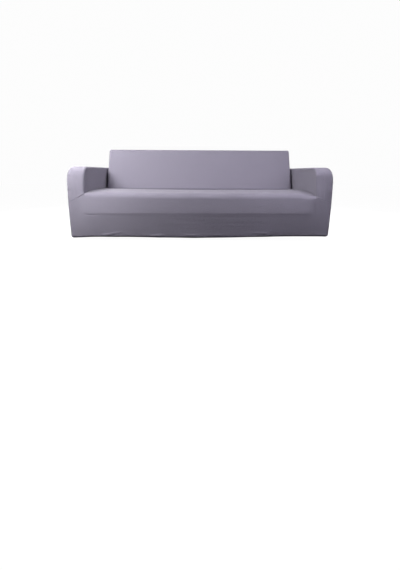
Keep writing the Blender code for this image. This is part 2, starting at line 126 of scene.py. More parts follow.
@dataclass(frozen=True)
class CoverForm:
    """The rounded form that the cloth is stretched over, as a signed distance.

    Lengths are in metres, heights from the floor up and depths from the arm fronts back. A pair is
    (left, right).
    """

    half_length: float = 1.1046
    arm_top: float = 0.6232
    arm_inner: float = 0.958
    back_half: float = 0.937
    back_top: float = 0.811
    rear: float = 0.820
    back_foot: float = 0.600
    recline: float = math.radians(12.0)
    seat_top: float = 0.401
    # how the ends draw in towards the hem
    draw_in: tuple[float, float] = (0.042, 0.045)
    draw_in_start: float = 0.50
    draw_in_power: float = 1.27
    # radii of the arm's front roll, its shoulder, its rear and the upright corners
    arm_roll: float = 0.081
    arm_shoulder: float = 0.038
    shoulder_start: float = 0.5175
    shoulder_run: float = 0.10
    arm_rear_roll: float = 0.050
    corner: float = 0.022
    # radii of the edge round the seat space: beside the arms, and rolled over the seat's front
    inside_corner: float = 0.014
    seat_roll: float = 0.042
    seat_roll_end: float = 0.40
    seat_roll_run: float = 0.20
    # radii of the hem's turn and of the backrest's edges, and how deep the backrest is rooted in the seat
    edge: float = 0.018
    back_edge: float = 0.012
    back_root: float = 0.32
    # where the crease beside the backrest runs out towards the rear
    crease_end: float = 0.74
    crease_end_run: float = 0.05
    # the seat: crowned, raised towards the arms, dropped at its front corners
    seat_crown: float = 0.012
    seat_side: tuple[float, float] = (0.013, 0.006)
    seat_drop: tuple[float, float] = (0.013, 0.033)
    seat_drop_reach: float = 0.10
    seat_drop_start: float = 0.80
    # the front: proudest at swell_floor, with a small step under it that ends short of the corners
    swell_floor: float = 0.236
    swell_proud: float = 0.020
    swell_top: float = 0.400
    swell_lean_power: float = 1.2
    step_depth: float = 0.003
    swell_end: tuple[float, float] = (1.020, 1.000)
    swell_end_run: float = 0.140
    swell_edge: float = 0.005
    swell_edge_run: float = 0.09
    step_height: float = 0.012
    step_end: tuple[float, float] = (0.936, 0.914)
    step_end_run: float = 0.030
    step_end_height: float = 0.120
    # the hem: a wave and a tilt, a slack corner, and slack folds
    hem: float = 0.0368
    hem_rise: float = 0.0100
    hem_tilt: float = 0.0030
    hem_rise_reach: float = 0.80
    hem_rise_limit: float = 1.4
    hem_slack: tuple[float, float] = (0.0035, 0.0)
    hem_slack_start: float = 0.88
    hem_slack_run: float = 0.16
    hem_folds: tuple[HemFold, ...] = (
        HemFold(middle=-0.72, half_width=0.060, depth=0.0050),
        HemFold(middle=-0.35, half_width=0.040, depth=0.0035),
        HemFold(middle=-0.06, half_width=0.070, depth=0.0050),
        HemFold(middle=0.52, half_width=0.065, depth=0.0055),
    )
    hem_fold_height: float = 0.045

    @property
    def crease(self) -> float:
        """Radius of the crease between seat, arms and backrest: half of the gap beside the backrest."""
        return (self.arm_inner - self.back_half) / 2

    @property
    def gap_middle(self) -> float:
        """Place along x of the middle of the gap between backrest and arm."""
        return (self.arm_inner + self.back_half) / 2

    @property
    def origin(self) -> np.ndarray:
        """Underside of the backrest's top, which is the finished cover's origin."""
        front = self.back_foot + (self.back_top - self.seat_top) * math.tan(self.recline)
        return np.array([0.0, (front + self.rear) / 2, self.back_top - THICKNESS / 2])

    @staticmethod
    def by_side(pair: tuple[float, float], x: np.ndarray) -> np.ndarray:
        """Value of a (left, right) pair on the side that x is on."""
        return np.where(np.asarray(x) < 0.0, pair[0], pair[1])

    def end_at(self, x: np.ndarray, z: np.ndarray) -> np.ndarray:
        """Half the outside length at a height.

        Args:
            x: place along the cover, for its side only.
            z: height above the floor.

        Returns:
            half_length less draw_in times (1 - t)^power, with t from 0 at the hem to 1 at draw_in_start.
        """
        t = np.clip((z - self.hem) / (self.draw_in_start - self.hem), 0.0, 1.0)
        return self.half_length - self.by_side(self.draw_in, x) * (1.0 - t) ** self.draw_in_power

    def hem_height(self, x: np.ndarray) -> np.ndarray:
        """Height of the hem.

        Args:
            x: place along the cover.

        Returns:
            hem plus a half cosine wave along x and a slight tilt, less the slack of a corner.
        """
        sag = 1.0 - np.cos(math.pi * np.minimum(np.abs(x) / self.hem_rise_reach, self.hem_rise_limit))
        slack = smooth((np.abs(x) - self.hem_slack_start) / self.hem_slack_run)
        slack = self.by_side(self.hem_slack, x) * slack
        return self.hem + self.hem_rise * sag / 2 + self.hem_tilt * np.asarray(x) - slack

    def seat_height(self, x: np.ndarray, y: np.ndarray) -> np.ndarray:
        """Height of the seat.

        Args:
            x: place along the cover.
            y: depth from the arm fronts.

        Returns:
            seat_top plus a parabola over the depth and another along x, less a drop that decays with depth
            and grows towards the arm.
        """
        drop = self.by_side(self.seat_drop, x) * np.exp(-np.maximum(y, 0.0) / self.seat_drop_reach)
        beside_arm = smooth((np.abs(x) - self.seat_drop_start) / (self.arm_inner - self.seat_drop_start))
        middle = self.back_foot / 2
        crown = self.seat_crown * np.maximum(1.0 - ((y - middle) / middle) ** 2, 0.0)
        side = self.by_side(self.seat_side, x) * (np.asarray(x) / self.arm_inner) ** 2
        return self.seat_top + crown + side - drop * beside_arm

    def front_swell(self, x: np.ndarray, z: np.ndarray) -> np.ndarray:
        """How far the front stands forward of the arm fronts.

        Args:
            x: place along the cover.
            z: height above the floor.

        Returns:
            Proudest at swell_floor, the seat's lower edge: above it a power curve leans back, below it a
            straight line draws in to the hem. The small step between them is sharp up to its ends, and
            spanned by a slope beyond them. Each fold along the hem adds a bell curve.
        """
        lean = np.clip((z - self.swell_floor) / (self.swell_top - self.swell_floor), 0.0, 1.0)
        upper = self.swell_proud * (1.0 - lean**self.swell_lean_power)
        drawn = np.clip((z - self.hem) / (self.swell_floor - self.hem), 0.0, 1.0)
        lower = (self.swell_proud - self.step_depth) * drawn
        along = smooth((self.by_side(self.swell_end, x) - np.abs(x)) / self.swell_end_run)
        spanned = smooth((np.abs(x) - self.by_side(self.step_end, x)) / self.step_end_run + 0.5)
        step = self.step_height + (self.step_end_height - self.step_height) * spanned
        above = smooth((z - self.swell_floor) / step + 0.5)
        swell = along * (upper * above + lower * (1.0 - above))
        low = np.exp(-np.maximum(z - self.hem, 0.0) / self.hem_fold_height)
        for fold in self.hem_folds:
            swell = swell + fold.depth * low * np.exp(-(((x - fold.middle) / fold.half_width) ** 2))
        return swell

    def back_front(self, z: np.ndarray) -> np.ndarray:
        """Depth of the backrest's reclined front: its foot plus the height above the seat by the recline."""
        return self.back_foot + (z - self.seat_top) * math.tan(self.recline)

    def body_distance(self, p: np.ndarray) -> np.ndarray:
        """Distance from seat and arms: a block with each edge rounded in turn, less the seat space.

        Args:
            p: points, with x, y and z in the last axis.

        Returns:
            Signed distance, negative inside.
        """
        x, y, z = p[..., 0], p[..., 1], p[..., 2]
        shoulder = smooth((z - self.shoulder_start) / self.shoulder_run)
        block = round_join(-y - self.front_swell(x, z), z - self.arm_top, self.arm_roll)
        block = round_join(block, y - self.rear, self.arm_rear_roll)
        corner = self.corner + (self.arm_shoulder - self.corner) * shoulder
        block = round_join(block, np.abs(x) - self.end_at(x, z), corner)
        block = round_join(block, self.hem_height(x) - z, self.edge)
        seat_space = round_join(np.abs(x) - self.arm_inner, self.seat_height(x, y) - z, self.crease)
        inside_ends = smooth((self.arm_inner - self.swell_edge - np.abs(x)) / self.swell_edge_run)
        at_front = inside_ends * smooth((self.seat_roll_end - y) / self.seat_roll_run)
        roll = self.inside_corner + (self.seat_roll - self.inside_corner) * at_front
        return round_join(block, -seat_space, roll)

    def distance(self, p: np.ndarray) -> np.ndarray:
        """Distance from the whole form: seat and arms, plus the reclined backrest with a filled crease.

        Args:
            p: points, with x, y and z in the last axis.

        Returns:
            Signed distance, negative inside.
        """
        x, y, z = p[..., 0], p[..., 1], p[..., 2]
        reclined = (self.back_front(z) - y) * math.cos(self.recline)
        back = round_join(reclined, z - self.back_top, self.back_edge)
        back = round_join(back, y - self.rear, self.back_edge)
        back = round_join(back, np.abs(x) - self.back_half, self.back_edge)
        back = np.maximum(back, self.back_root - z)
        crease = self.crease * (1.0 - smooth((y - self.crease_end) / self.crease_end_run))
        return round_add(self.body_distance(p), back, crease)

    def slope(self, p: np.ndarray, whole: bool = True, step: float = 2e-5) -> np.ndarray:
        """Gradient of the distance by central differences.

        Args:
            p: points, with x, y and z in the last axis.
            whole: the whole form, or seat and arms alone.
            step: half the difference's span.

        Returns:
            (distance(p + step) - distance(p - step)) / (2 step) along each axis.
        """
        measure = self.distance if whole else self.body_distance
        columns = [(measure(p + axis) - measure(p - axis)) / (2 * step) for axis in np.eye(3) * step]
        return np.stack(columns, axis=-1)

    def settle(self, seeds: np.ndarray, whole: bool = True, rounds: int = 9) -> np.ndarray:
        """Slide points onto the form: p moves by -distance times slope over slope squared, again and again.

        Args:
            seeds: points near the form.
            whole: the whole form, or seat and arms alone.
            rounds: how many times they move.

        Returns:
            The points on the form.
        """
        measure = self.distance if whole else self.body_distance
        points = seeds.copy()
        for _ in range(rounds):
            slope = self.slope(points, whole)
            square = np.maximum((slope**2).sum(axis=-1), HAIR)
            points -= slope * (measure(points) / square)[..., None]
        return points


@dataclass
class Patch:
    """A grid of seed points and what its four edges do.

    The rims are those of the first row, last row, first column and last column. The knit's columns are
    counted along the axis called across, and its rows from the last line of the other axis where from_end is
    set. Where only part of the first and last row is sewn, seam_span gives its first and last seed. A joined
    patch runs on from the side of the panel's first patch.
    """

    seeds: np.ndarray
    rims: tuple[Rim, Rim, Rim, Rim]
    across: int = 0
    from_end: bool = False
    seam_span: tuple[int, int] | None = None
    joined: bool = False


def line(start: np.ndarray, end: np.ndarray, count: int) -> np.ndarray:
    """Points from start to end in equal steps: start (1 - t) + end t."""
    t = np.linspace(0.0, 1.0, count + 1)[:, None]
    return np.asarray(start) * (1.0 - t) + np.asarray(end) * t


def fill(bottom: np.ndarray, top: np.ndarray, left: np.ndarray, right: np.ndarray) -> np.ndarray:
    """Grid between four edges of points.

    Args:
        bottom: first row.
        top: last row.
        left: first column.
        right: last column.

    Returns:
        The blend of left and right, plus the blend of bottom and top, less the blend of the four corners.
    """
    u = np.linspace(0.0, 1.0, len(bottom))[None, :, None]
    v = np.linspace(0.0, 1.0, len(left))[:, None, None]
    across = left[:, None] * (1 - u) + right[:, None] * u
    along = bottom[None] * (1 - v) + top[None] * v
    corners = bottom[0] * (1 - u) * (1 - v) + bottom[-1] * u * (1 - v)
    corners = corners + top[0] * (1 - u) * v + top[-1] * u * v
    return across + along - corners


@dataclass
class CutPlan:
    """Where every panel's seeds lie on the form: the places of its seams, and the stations between them.

    Lengths are in metres. Beside the backrest the seat's rear seeds move back by gap_lead of their distance
    past its end. A seed stands edge_lead before the front edge in each of a sleeve's rows, where there is
    room. facing_steps and end_steps count intervals across the facing and beyond it.
    """

    form: CoverForm = field(default_factory=CoverForm)
    gap_lead: float = 0.3
    edge_lead: float = 0.02
    facing_inner: float = 0.970
    facing_outer: float = 1.030
    facing_top: float = 0.577
    apron_seam_end: float = 0.335
    apron_seam_power: float = 1.5
    middle_places: tuple[float, ...] = (
        -0.85, -0.78, -0.72, -0.66, -0.53, -0.40, -0.35, -0.30, -0.15, -0.06,
        0.03, 0.15, 0.30, 0.45, 0.52, 0.59, 0.72, 0.85,
    )
    seat_depths: tuple[float, ...] = (0.50, 0.35, 0.20, 0.10, 0.06, 0.04, 0.02, 0.0)
    back_low_heights: tuple[float, ...] = (0.50, 0.60, 0.70)
    gap_start: float = 0.70
    front_fractions: tuple[float, ...] = (0.23, 0.46, 1.0)
    front_fraction_floor: float = 0.30
    front_heights: tuple[float, ...] = (0.26, 0.244, 0.240, 0.236, 0.232, 0.228, 0.17, 0.11, 0.07)
    # three more than front_heights, so that the rows behind an arm meet those of its sleeve
    rear_heights: tuple[float, ...] = (
        0.385, 0.36, 0.335, 0.31, 0.28, 0.26, 0.24, 0.22, 0.20, 0.16, 0.11, 0.07,
    )
    turn_steps: tuple[float, ...] = (0.010, 0.030)
    inner_heights: tuple[float, ...] = (0.45, 0.49, 0.53, 0.57, 0.6092, 0.6162, 0.6232)
    top_places: tuple[float, ...] = (0.975, 0.998, 1.030)
    shoulder_places: tuple[float, ...] = (1.060, 1.083, 1.1046)
    outer_heights: tuple[float, ...] = (0.602, 0.575, 0.520, 0.440, 0.358)
    facing_steps: int = 3
    end_steps: int = 3

    @property
    def facing_runs(self) -> int:
        """Rows up the facing: one clear of the crease, and one for each inner height."""
        return len(self.inner_heights) + 1

    @property
    def rear_join(self) -> int:
        """Seed rows up the rear, from the turned hem to the floor of the gap, that the arm rears share."""
        return len(self.rear_heights) + 2 + len(self.turn_steps)

    @property
    def seat_rows(self) -> tuple[float, ...]:
        """Depths of the seat's seeds, from the backrest to the front edge."""
        f = self.form
        return (f.back_foot, f.back_foot - f.crease) + self.seat_depths

    @property
    def back_heights(self) -> tuple[float, ...]:
        """Heights of the backrest's seeds above its crease."""
        f = self.form
        return self.back_low_heights + (f.back_top - f.back_edge, f.back_top - f.back_edge / 2, f.back_top)

    @property
    def gap_rows(self) -> tuple[float, ...]:
        """Depths along the floor of the gap beside the backrest."""
        f = self.form
        return (self.gap_start, f.rear - f.back_edge, f.rear - f.back_edge / 2, f.rear)

    @property
    def columns(self) -> np.ndarray:
        """Places along x of the seeds that seat, backrest and rear share.

        Returns:
            The middle places between the edges of the backrest, where three stand on each rounded edge.
        """
        f = self.form
        right = [f.back_half - f.back_edge, f.back_half - f.back_edge / 2, f.back_half]
        return np.array([-x for x in reversed(right)] + list(self.middle_places) + right)

    def apron_seam(self, side: int, x: float) -> float:
        """Height of the seam that runs from the seat's front corner out across the arm front.

        Args:
            side: -1 left, 1 right.
            x: distance from the cover's middle.

        Returns:
            The seam's end height plus its rise times t^power, with t from 0 at the outer edge to 1 at the
            seat.
        """
        edge = float(self.form.end_at(side, self.apron_seam_end))
        start = float(self.form.seat_height(side * self.form.arm_inner, 0.0))
        t = max((edge - x) / (edge - self.form.arm_inner), 0.0)
        return self.apron_seam_end + (start - self.apron_seam_end) * t**self.apron_seam_power

    def apron_places(self, side: int) -> list[float]:
        """Places along x of the points on the apron seam.

        Args:
            side: -1 left, 1 right.

        Returns:
            Distances from the cover's middle: from the seat's corner past the facing to the outer edge.
        """
        inner = self.form.arm_inner
        edge = float(self.form.end_at(side, self.apron_seam_end))
        facing = list(np.linspace(self.facing_inner, self.facing_outer, self.facing_steps + 1))
        beyond = list(np.linspace(self.facing_outer, edge, self.end_steps + 1))[1:]
        return [inner, (inner + self.facing_inner) / 2] + facing + beyond

    def wall_column(self, x: float, heights: list[float], wall: float, inward: float) -> np.ndarray:
        """Seeds down a front or rear wall, round the hem and under it.

        Args:
            x: place along the cover.
            heights: heights of the seeds above the hem's own.
            wall: depth of the wall.
            inward: 1 where the cover lies behind the wall, -1 where it lies before it.

        Returns:
            Points down the wall, drawn in with the end in proportion to how near the end they are.
        """
        form = self.form
        side = math.copysign(1.0, x)
        top_end = float(form.end_at(x, self.apron_seam_end))
        at_end = max((abs(x) - form.arm_inner) / (top_end - form.arm_inner), 0.0)
        foot = float(form.hem_height(x))
        points = []
        for z in list(heights) + [foot + form.edge / 2, foot]:
            points.append((x + side * min(float(form.end_at(x, z)) - top_end, 0.0) * at_end, wall, z))
        end = float(form.end_at(x, foot)) - top_end
        for turn in self.turn_steps:
            points.append((x + side * (end - turn) * at_end, wall + inward * turn, foot))
        return np.array(points)

    def front_column(self, x: float, top: float) -> np.ndarray:
        """Seeds down the front at one place.

        Args:
            x: place along the cover.
            top: height of the first seed.

        Returns:
            Points from the top, in shares of the way to front_fraction_floor and then at the front heights,
            to the turned-under hem.
        """
        floor = self.front_fraction_floor
        heights = [top] + [top + f * (floor - top) for f in self.front_fractions] + list(self.front_heights)
        return self.wall_column(x, heights, 0.0, 1.0)

    def seat_column(self, x: float) -> np.ndarray:
        """Seeds along the seat at one place.

        Args:
            x: place along the cover.

        Returns:
            Points from the back to the front edge, turned in to the gap's middle beside the backrest.
        """
        form = self.form
        side = math.copysign(1.0, x)
        past_back = max(abs(x) - form.back_half, 0.0)
        points = []
        for y in self.seat_rows:
            turn = float(smooth((y - (form.back_foot - 2 * form.crease)) / (2 * form.crease)))
            place = x - side * turn * past_back / 2
            points.append((place, y + self.gap_lead * turn * past_back, float(form.seat_height(x, y))))
        return np.array(points)

    def gap_floor(self, side: int) -> np.ndarray:
        """Seeds along the floor of the gap between an arm and the backrest."""
        height = [float(self.form.seat_height(side * self.form.arm_inner, y)) for y in self.gap_rows]
        return np.array([(side * self.form.gap_middle, y, z) for y, z in zip(self.gap_rows, height)])

    def facing_edges(self, side: int) -> tuple[np.ndarray, np.ndarray, np.ndarray, np.ndarray]:
        """Edges of the arm front's facing.

        Args:
            side: -1 left, 1 right.

        Returns:
            Bottom, top, inner side and outer side, each as points. The inner side is spaced as the arm's
            inner rows are, the outer one evenly.
        """
        places = np.linspace(self.facing_inner, self.facing_outer, self.facing_steps + 1)
        bottom = np.array([(side * x, 0.0, self.apron_seam(side, x)) for x in places])
        top = np.array([(side * x, 0.0, self.facing_top) for x in places])
        rows = [self.inner_height(side, 0.0, row) for row in range(self.facing_runs + 1)]
        share = (np.array(rows)[:, None] - rows[0]) / (rows[-1] - rows[0])
        inner = bottom[0] * (1 - share) + top[0] * share
        return bottom, top, inner, line(bottom[-1], top[-1], self.facing_runs)

    def inner_height(self, side: int, y: float, row: int) -> float:
        """Height of one row up an arm's inner face.

        Args:
            side: -1 left, 1 right.
            y: depth from the arm fronts.
            row: number of the row, 0 at the seat.

        Returns:
            The seat's height, then one crease radius above it, then inner_heights stretched between seat and
            arm top.
        """
        form = self.form
        foot = float(form.seat_height(side * form.arm_inner, y))
        if row < 2:
            return foot + form.crease * row
        share = (self.inner_heights[row - 2] - form.seat_top) / (form.arm_top - form.seat_top)
        return foot + share * (form.arm_top - foot)

    def back_rows(self, z: float) -> tuple[float, ...]:
        """Depths of the seeds from the backrest's front to its rear at one height.

        Args:
            z: height above the floor.

        Returns:
            The front, half and all of the edge's radius behind it, the middle, and the same before the rear.
        """
        form = self.form
        start, half = float(form.back_front(z)), form.back_edge / 2
        first, last = start + form.back_edge, form.rear - form.back_edge
        return (start, start + half, first, (first + last) / 2, last, form.rear - half, form.rear)

    def sleeve_row(
        self, front: np.ndarray, edge: np.ndarray, depths: list[float], squeeze: bool = False
    ) -> np.ndarray:
        """Seeds of one row of a sleeve, from the front seam to the edge of the arm front, then back along y.

        Args:
            front: the row's point on the front seam.
            edge: the row's point on the edge of the arm front.
            depths: depths of the seeds behind that edge.
            squeeze: spread the first seeds over the way to the first depth, where the seam meets the edge.

        Returns:
            The row's seeds.
        """
        reach = float(np.linalg.norm(edge - front))
        near = reach - self.edge_lead
        if squeeze:
            first = depths[0]
            marks = (0.0, max(near, (reach + first) / 3), max(reach, (reach + first) * 2 / 3))
        else:
            marks = (0.0, max(near, reach / 2), reach)
        points = []
        for mark in marks:
            t = min(mark / reach, 1.0) if reach > HAIR else 1.0
            point = front * (1 - t) + edge * t
            point[1] += max(mark - reach, 0.0)
            points.append(point)
        return np.array(points + [edge + np.array([0.0, y, 0.0]) for y in depths])

    def sleeve_grid(self, side: int) -> np.ndarray:
        """Seeds of one arm's sleeve.

        Args:
            side: -1 left, 1 right.

        Returns:
            Rows that run from front to rear, and go from the crease over the arm and down the end to the hem.
        """
        form = self.form
        bottom, top, inner, outer = self.facing_edges(side)
        seat = self.seat_column(side * form.arm_inner)
        depths = list(self.seat_rows[::-1][1:-1]) + [float(seat[0, 1])] + list(self.gap_rows)
        # along the crease, then up the inside
        rows = [np.vstack([bottom[0], (bottom[0] + seat[-1]) / 2, seat[::-1], self.gap_floor(side)])]
        rows[0][1, 2] = self.apron_seam(side, (form.arm_inner + self.facing_inner) / 2)
        for number, front in list(enumerate(inner))[1:]:
            edge = np.array([side * form.arm_inner, 0.0, self.inner_height(side, 0.0, number)])
            row = self.sleeve_row(front, edge, depths)
            row[3:, 2] = [self.inner_height(side, y, number) for y in depths]
            rows.append(row)
        # over the top, round the shoulder and down the outside, beside the facing
        for place, front in zip(self.top_places, top[1:]):
            rows.append(self.sleeve_row(front, np.array([side * place, 0.0, form.arm_top]), depths))
        shoulder = [(x, form.arm_top) for x in self.shoulder_places] + [(None, z) for z in self.outer_heights]
        for (place, z), front in zip(shoulder, outer[::-1][1:]):
            x = float(form.end_at(side, z)) if place is None else place
            rows.append(self.sleeve_row(front, np.array([side * x, 0.0, z]), depths))
        # down the outside beside the apron seam, then beside the apron to the hem
        seam = self.apron_places(side)[-self.end_steps :]
        falls = np.linspace(self.outer_heights[-1], self.apron_seam_end, self.end_steps + 1)[1:]
        for x, z in zip(seam, falls):
            front = np.array([side * x, 0.0, self.apron_seam(side, x)])
            edge = np.array([side * float(form.end_at(side, z)), 0.0, z])
            rows.append(self.sleeve_row(front, edge, depths, True))
        corner = self.front_column(side * seam[-1], self.apron_seam_end)
        for edge in corner[1 : len(corner) - len(self.turn_steps)]:
            rows.append(self.sleeve_row(edge, edge, depths, True))
        # turned under, with mitred corners
        foot_x, _, foot_z = corner[-len(self.turn_steps) - 1]
        depth_row = np.array([0.0, depths[0] / 3, depths[0] * 2 / 3] + depths)
        for turn in self.turn_steps:
            mitred = turn + (form.rear - 2 * turn) * depth_row / form.rear
            rows.append(np.array([(foot_x - side * turn, y, foot_z) for y in mitred]))
        grid = np.array(rows)
        grid[1:] = form.settle(grid[1:], whole=False)
        return grid

    def seat_front(self) -> list[Patch]:
        """Seat, front roll and apron.

        Returns:
            One patch between the arms, and one below each arm front.
        """
        form = self.form
        places = [-form.arm_inner, -form.gap_middle] + list(self.columns) + [form.gap_middle, form.arm_inner]
        middle = []
        for x in places:
            seat = self.seat_column(x)
            middle.append(np.vstack([seat, self.front_column(x, seat[-1, 2])[1:]]))
        rims = (Rim.SEAM, Rim.SEAM, Rim.SEAM, Rim.HEM)
        patches = [Patch(np.array(middle), rims, from_end=True, seam_span=(0, len(self.seat_rows) - 1))]
        return patches + [self.below_arm(side) for side in (-1, 1)]

    def below_arm(self, side: int) -> Patch:
        """Apron below one arm front.

        Args:
            side: -1 left, 1 right.

        Returns:
            A patch from the seat's corner out to the end.
        """
        places = self.apron_places(side)
        grid = np.array([self.front_column(side * x, self.apron_seam(side, x)) for x in places])
        return Patch(grid, (Rim.JOIN, Rim.SEAM, Rim.SEAM, Rim.HEM), from_end=True, joined=True)

    def back_inside(self) -> list[Patch]:
        """Front of the backrest and its top.

        Returns:
            One patch, from the seat crease to the rear top edge.
        """
        form = self.form
        columns = []
        for x in self.columns:
            foot = float(form.seat_height(x, form.back_foot))
            front = [(x, form.back_foot, foot)]
            front += [(x, float(form.back_front(z)), z) for z in (foot + form.crease,) + self.back_heights]
            columns.append(front + [(x, y, form.back_top) for y in self.back_rows(form.back_top)[1:]])
        return [Patch(np.array(columns), (Rim.SEAM,) * 4)]

    def gusset(self, side: int) -> list[Patch]:
        """One end of the backrest.

        Args:
            side: -1 left, 1 right.

        Returns:
            One patch, with its lower edge turned out across the gap beside the arm.
        """
        form = self.form
        foot = float(form.seat_height(side * form.back_half, form.back_foot))
        corner = [self.seat_column(side * x)[0] for x in (form.back_half, form.gap_middle, form.arm_inner)]
        rows = [np.vstack([np.array(corner), self.gap_floor(side)])]
        for z in (foot + form.crease,) + self.back_heights:
            rows.append(np.array([(side * form.back_half, y, z) for y in self.back_rows(z)]))
        return [Patch(np.array(rows), (Rim.SEAM,) * 4, across=1)]

    def sleeve(self, side: int) -> list[Patch]:
        """Inside, top and outside of one arm in one patch."""
        return [Patch(self.sleeve_grid(side), (Rim.SEAM, Rim.HEM, Rim.SEAM, Rim.SEAM), across=1)]

    def facing(self, side: int) -> list[Patch]:
        """Narrow facing let into one arm front."""
        return [Patch(fill(*self.facing_edges(side)), (Rim.SEAM,) * 4, across=1)]

    def back_outside(self) -> list[Patch]:
        """Rear of the cover.

        Returns:
            One patch from the backrest's top edge down to the hem, and one behind each arm.
        """
        form = self.form
        columns = []
        for x in self.columns:
            at_edge = abs(x) == self.columns[-1]
            low_x = math.copysign(form.gap_middle, x) if at_edge else x
            foot = float(form.seat_height(math.copysign(form.arm_inner, x) if at_edge else x, form.rear))
            low = self.wall_column(low_x, [foot] + list(self.rear_heights), form.rear, -1.0)
            rise = float(form.seat_height(math.copysign(form.back_half, x), form.back_foot)) + form.crease
            high = [(x, form.rear, z) for z in (rise,) + self.back_heights]
            columns.append(np.vstack([low[::-1], high]))
        rows = len(columns[0])
        rims = (Rim.SEAM, Rim.SEAM, Rim.HEM, Rim.SEAM)
        middle = Patch(np.array(columns), rims, seam_span=(self.rear_join, rows - 1))
        return [middle] + [self.behind_arm(side) for side in (-1, 1)]

    def behind_arm(self, side: int) -> Patch:
        """Rear of one arm.

        Args:
            side: -1 left, 1 right.

        Returns:
            A patch that fills the plane inside the sleeve's rear edge, down to the rear hem.
        """
        rear_edge = self.sleeve_grid(side)[:, -1]
        inner_rows = self.facing_runs
        top_columns = len(self.top_places) + len(self.shoulder_places)
        inner_up = rear_edge[: inner_rows + 1]
        top = rear_edge[inner_rows : inner_rows + top_columns + 1]
        right = rear_edge[inner_rows + top_columns :][::-1]
        heights = [float(inner_up[0, 2])] + list(self.rear_heights)
        inner_down = self.wall_column(side * self.form.gap_middle, heights, self.form.rear, -1.0)
        left = np.vstack([inner_down[::-1], inner_up[1:]])
        grid = fill(line(left[0], right[0], top_columns), top, left, right)
        rims = (Rim.SEAM, Rim.SEAM, Rim.HEM, Rim.SEAM)
        return Patch(grid.transpose(1, 0, 2), rims, seam_span=(self.rear_join, len(grid) - 1), joined=True)


@dataclass(frozen=True)
class Wrinkle:
    """A long low fold: its middle, the way it runs, its half length, half width and height, in metres."""

    middle: tuple[float, float, float]
    runs: tuple[float, float, float]
    half_length: float
    half_width: float
    height: float


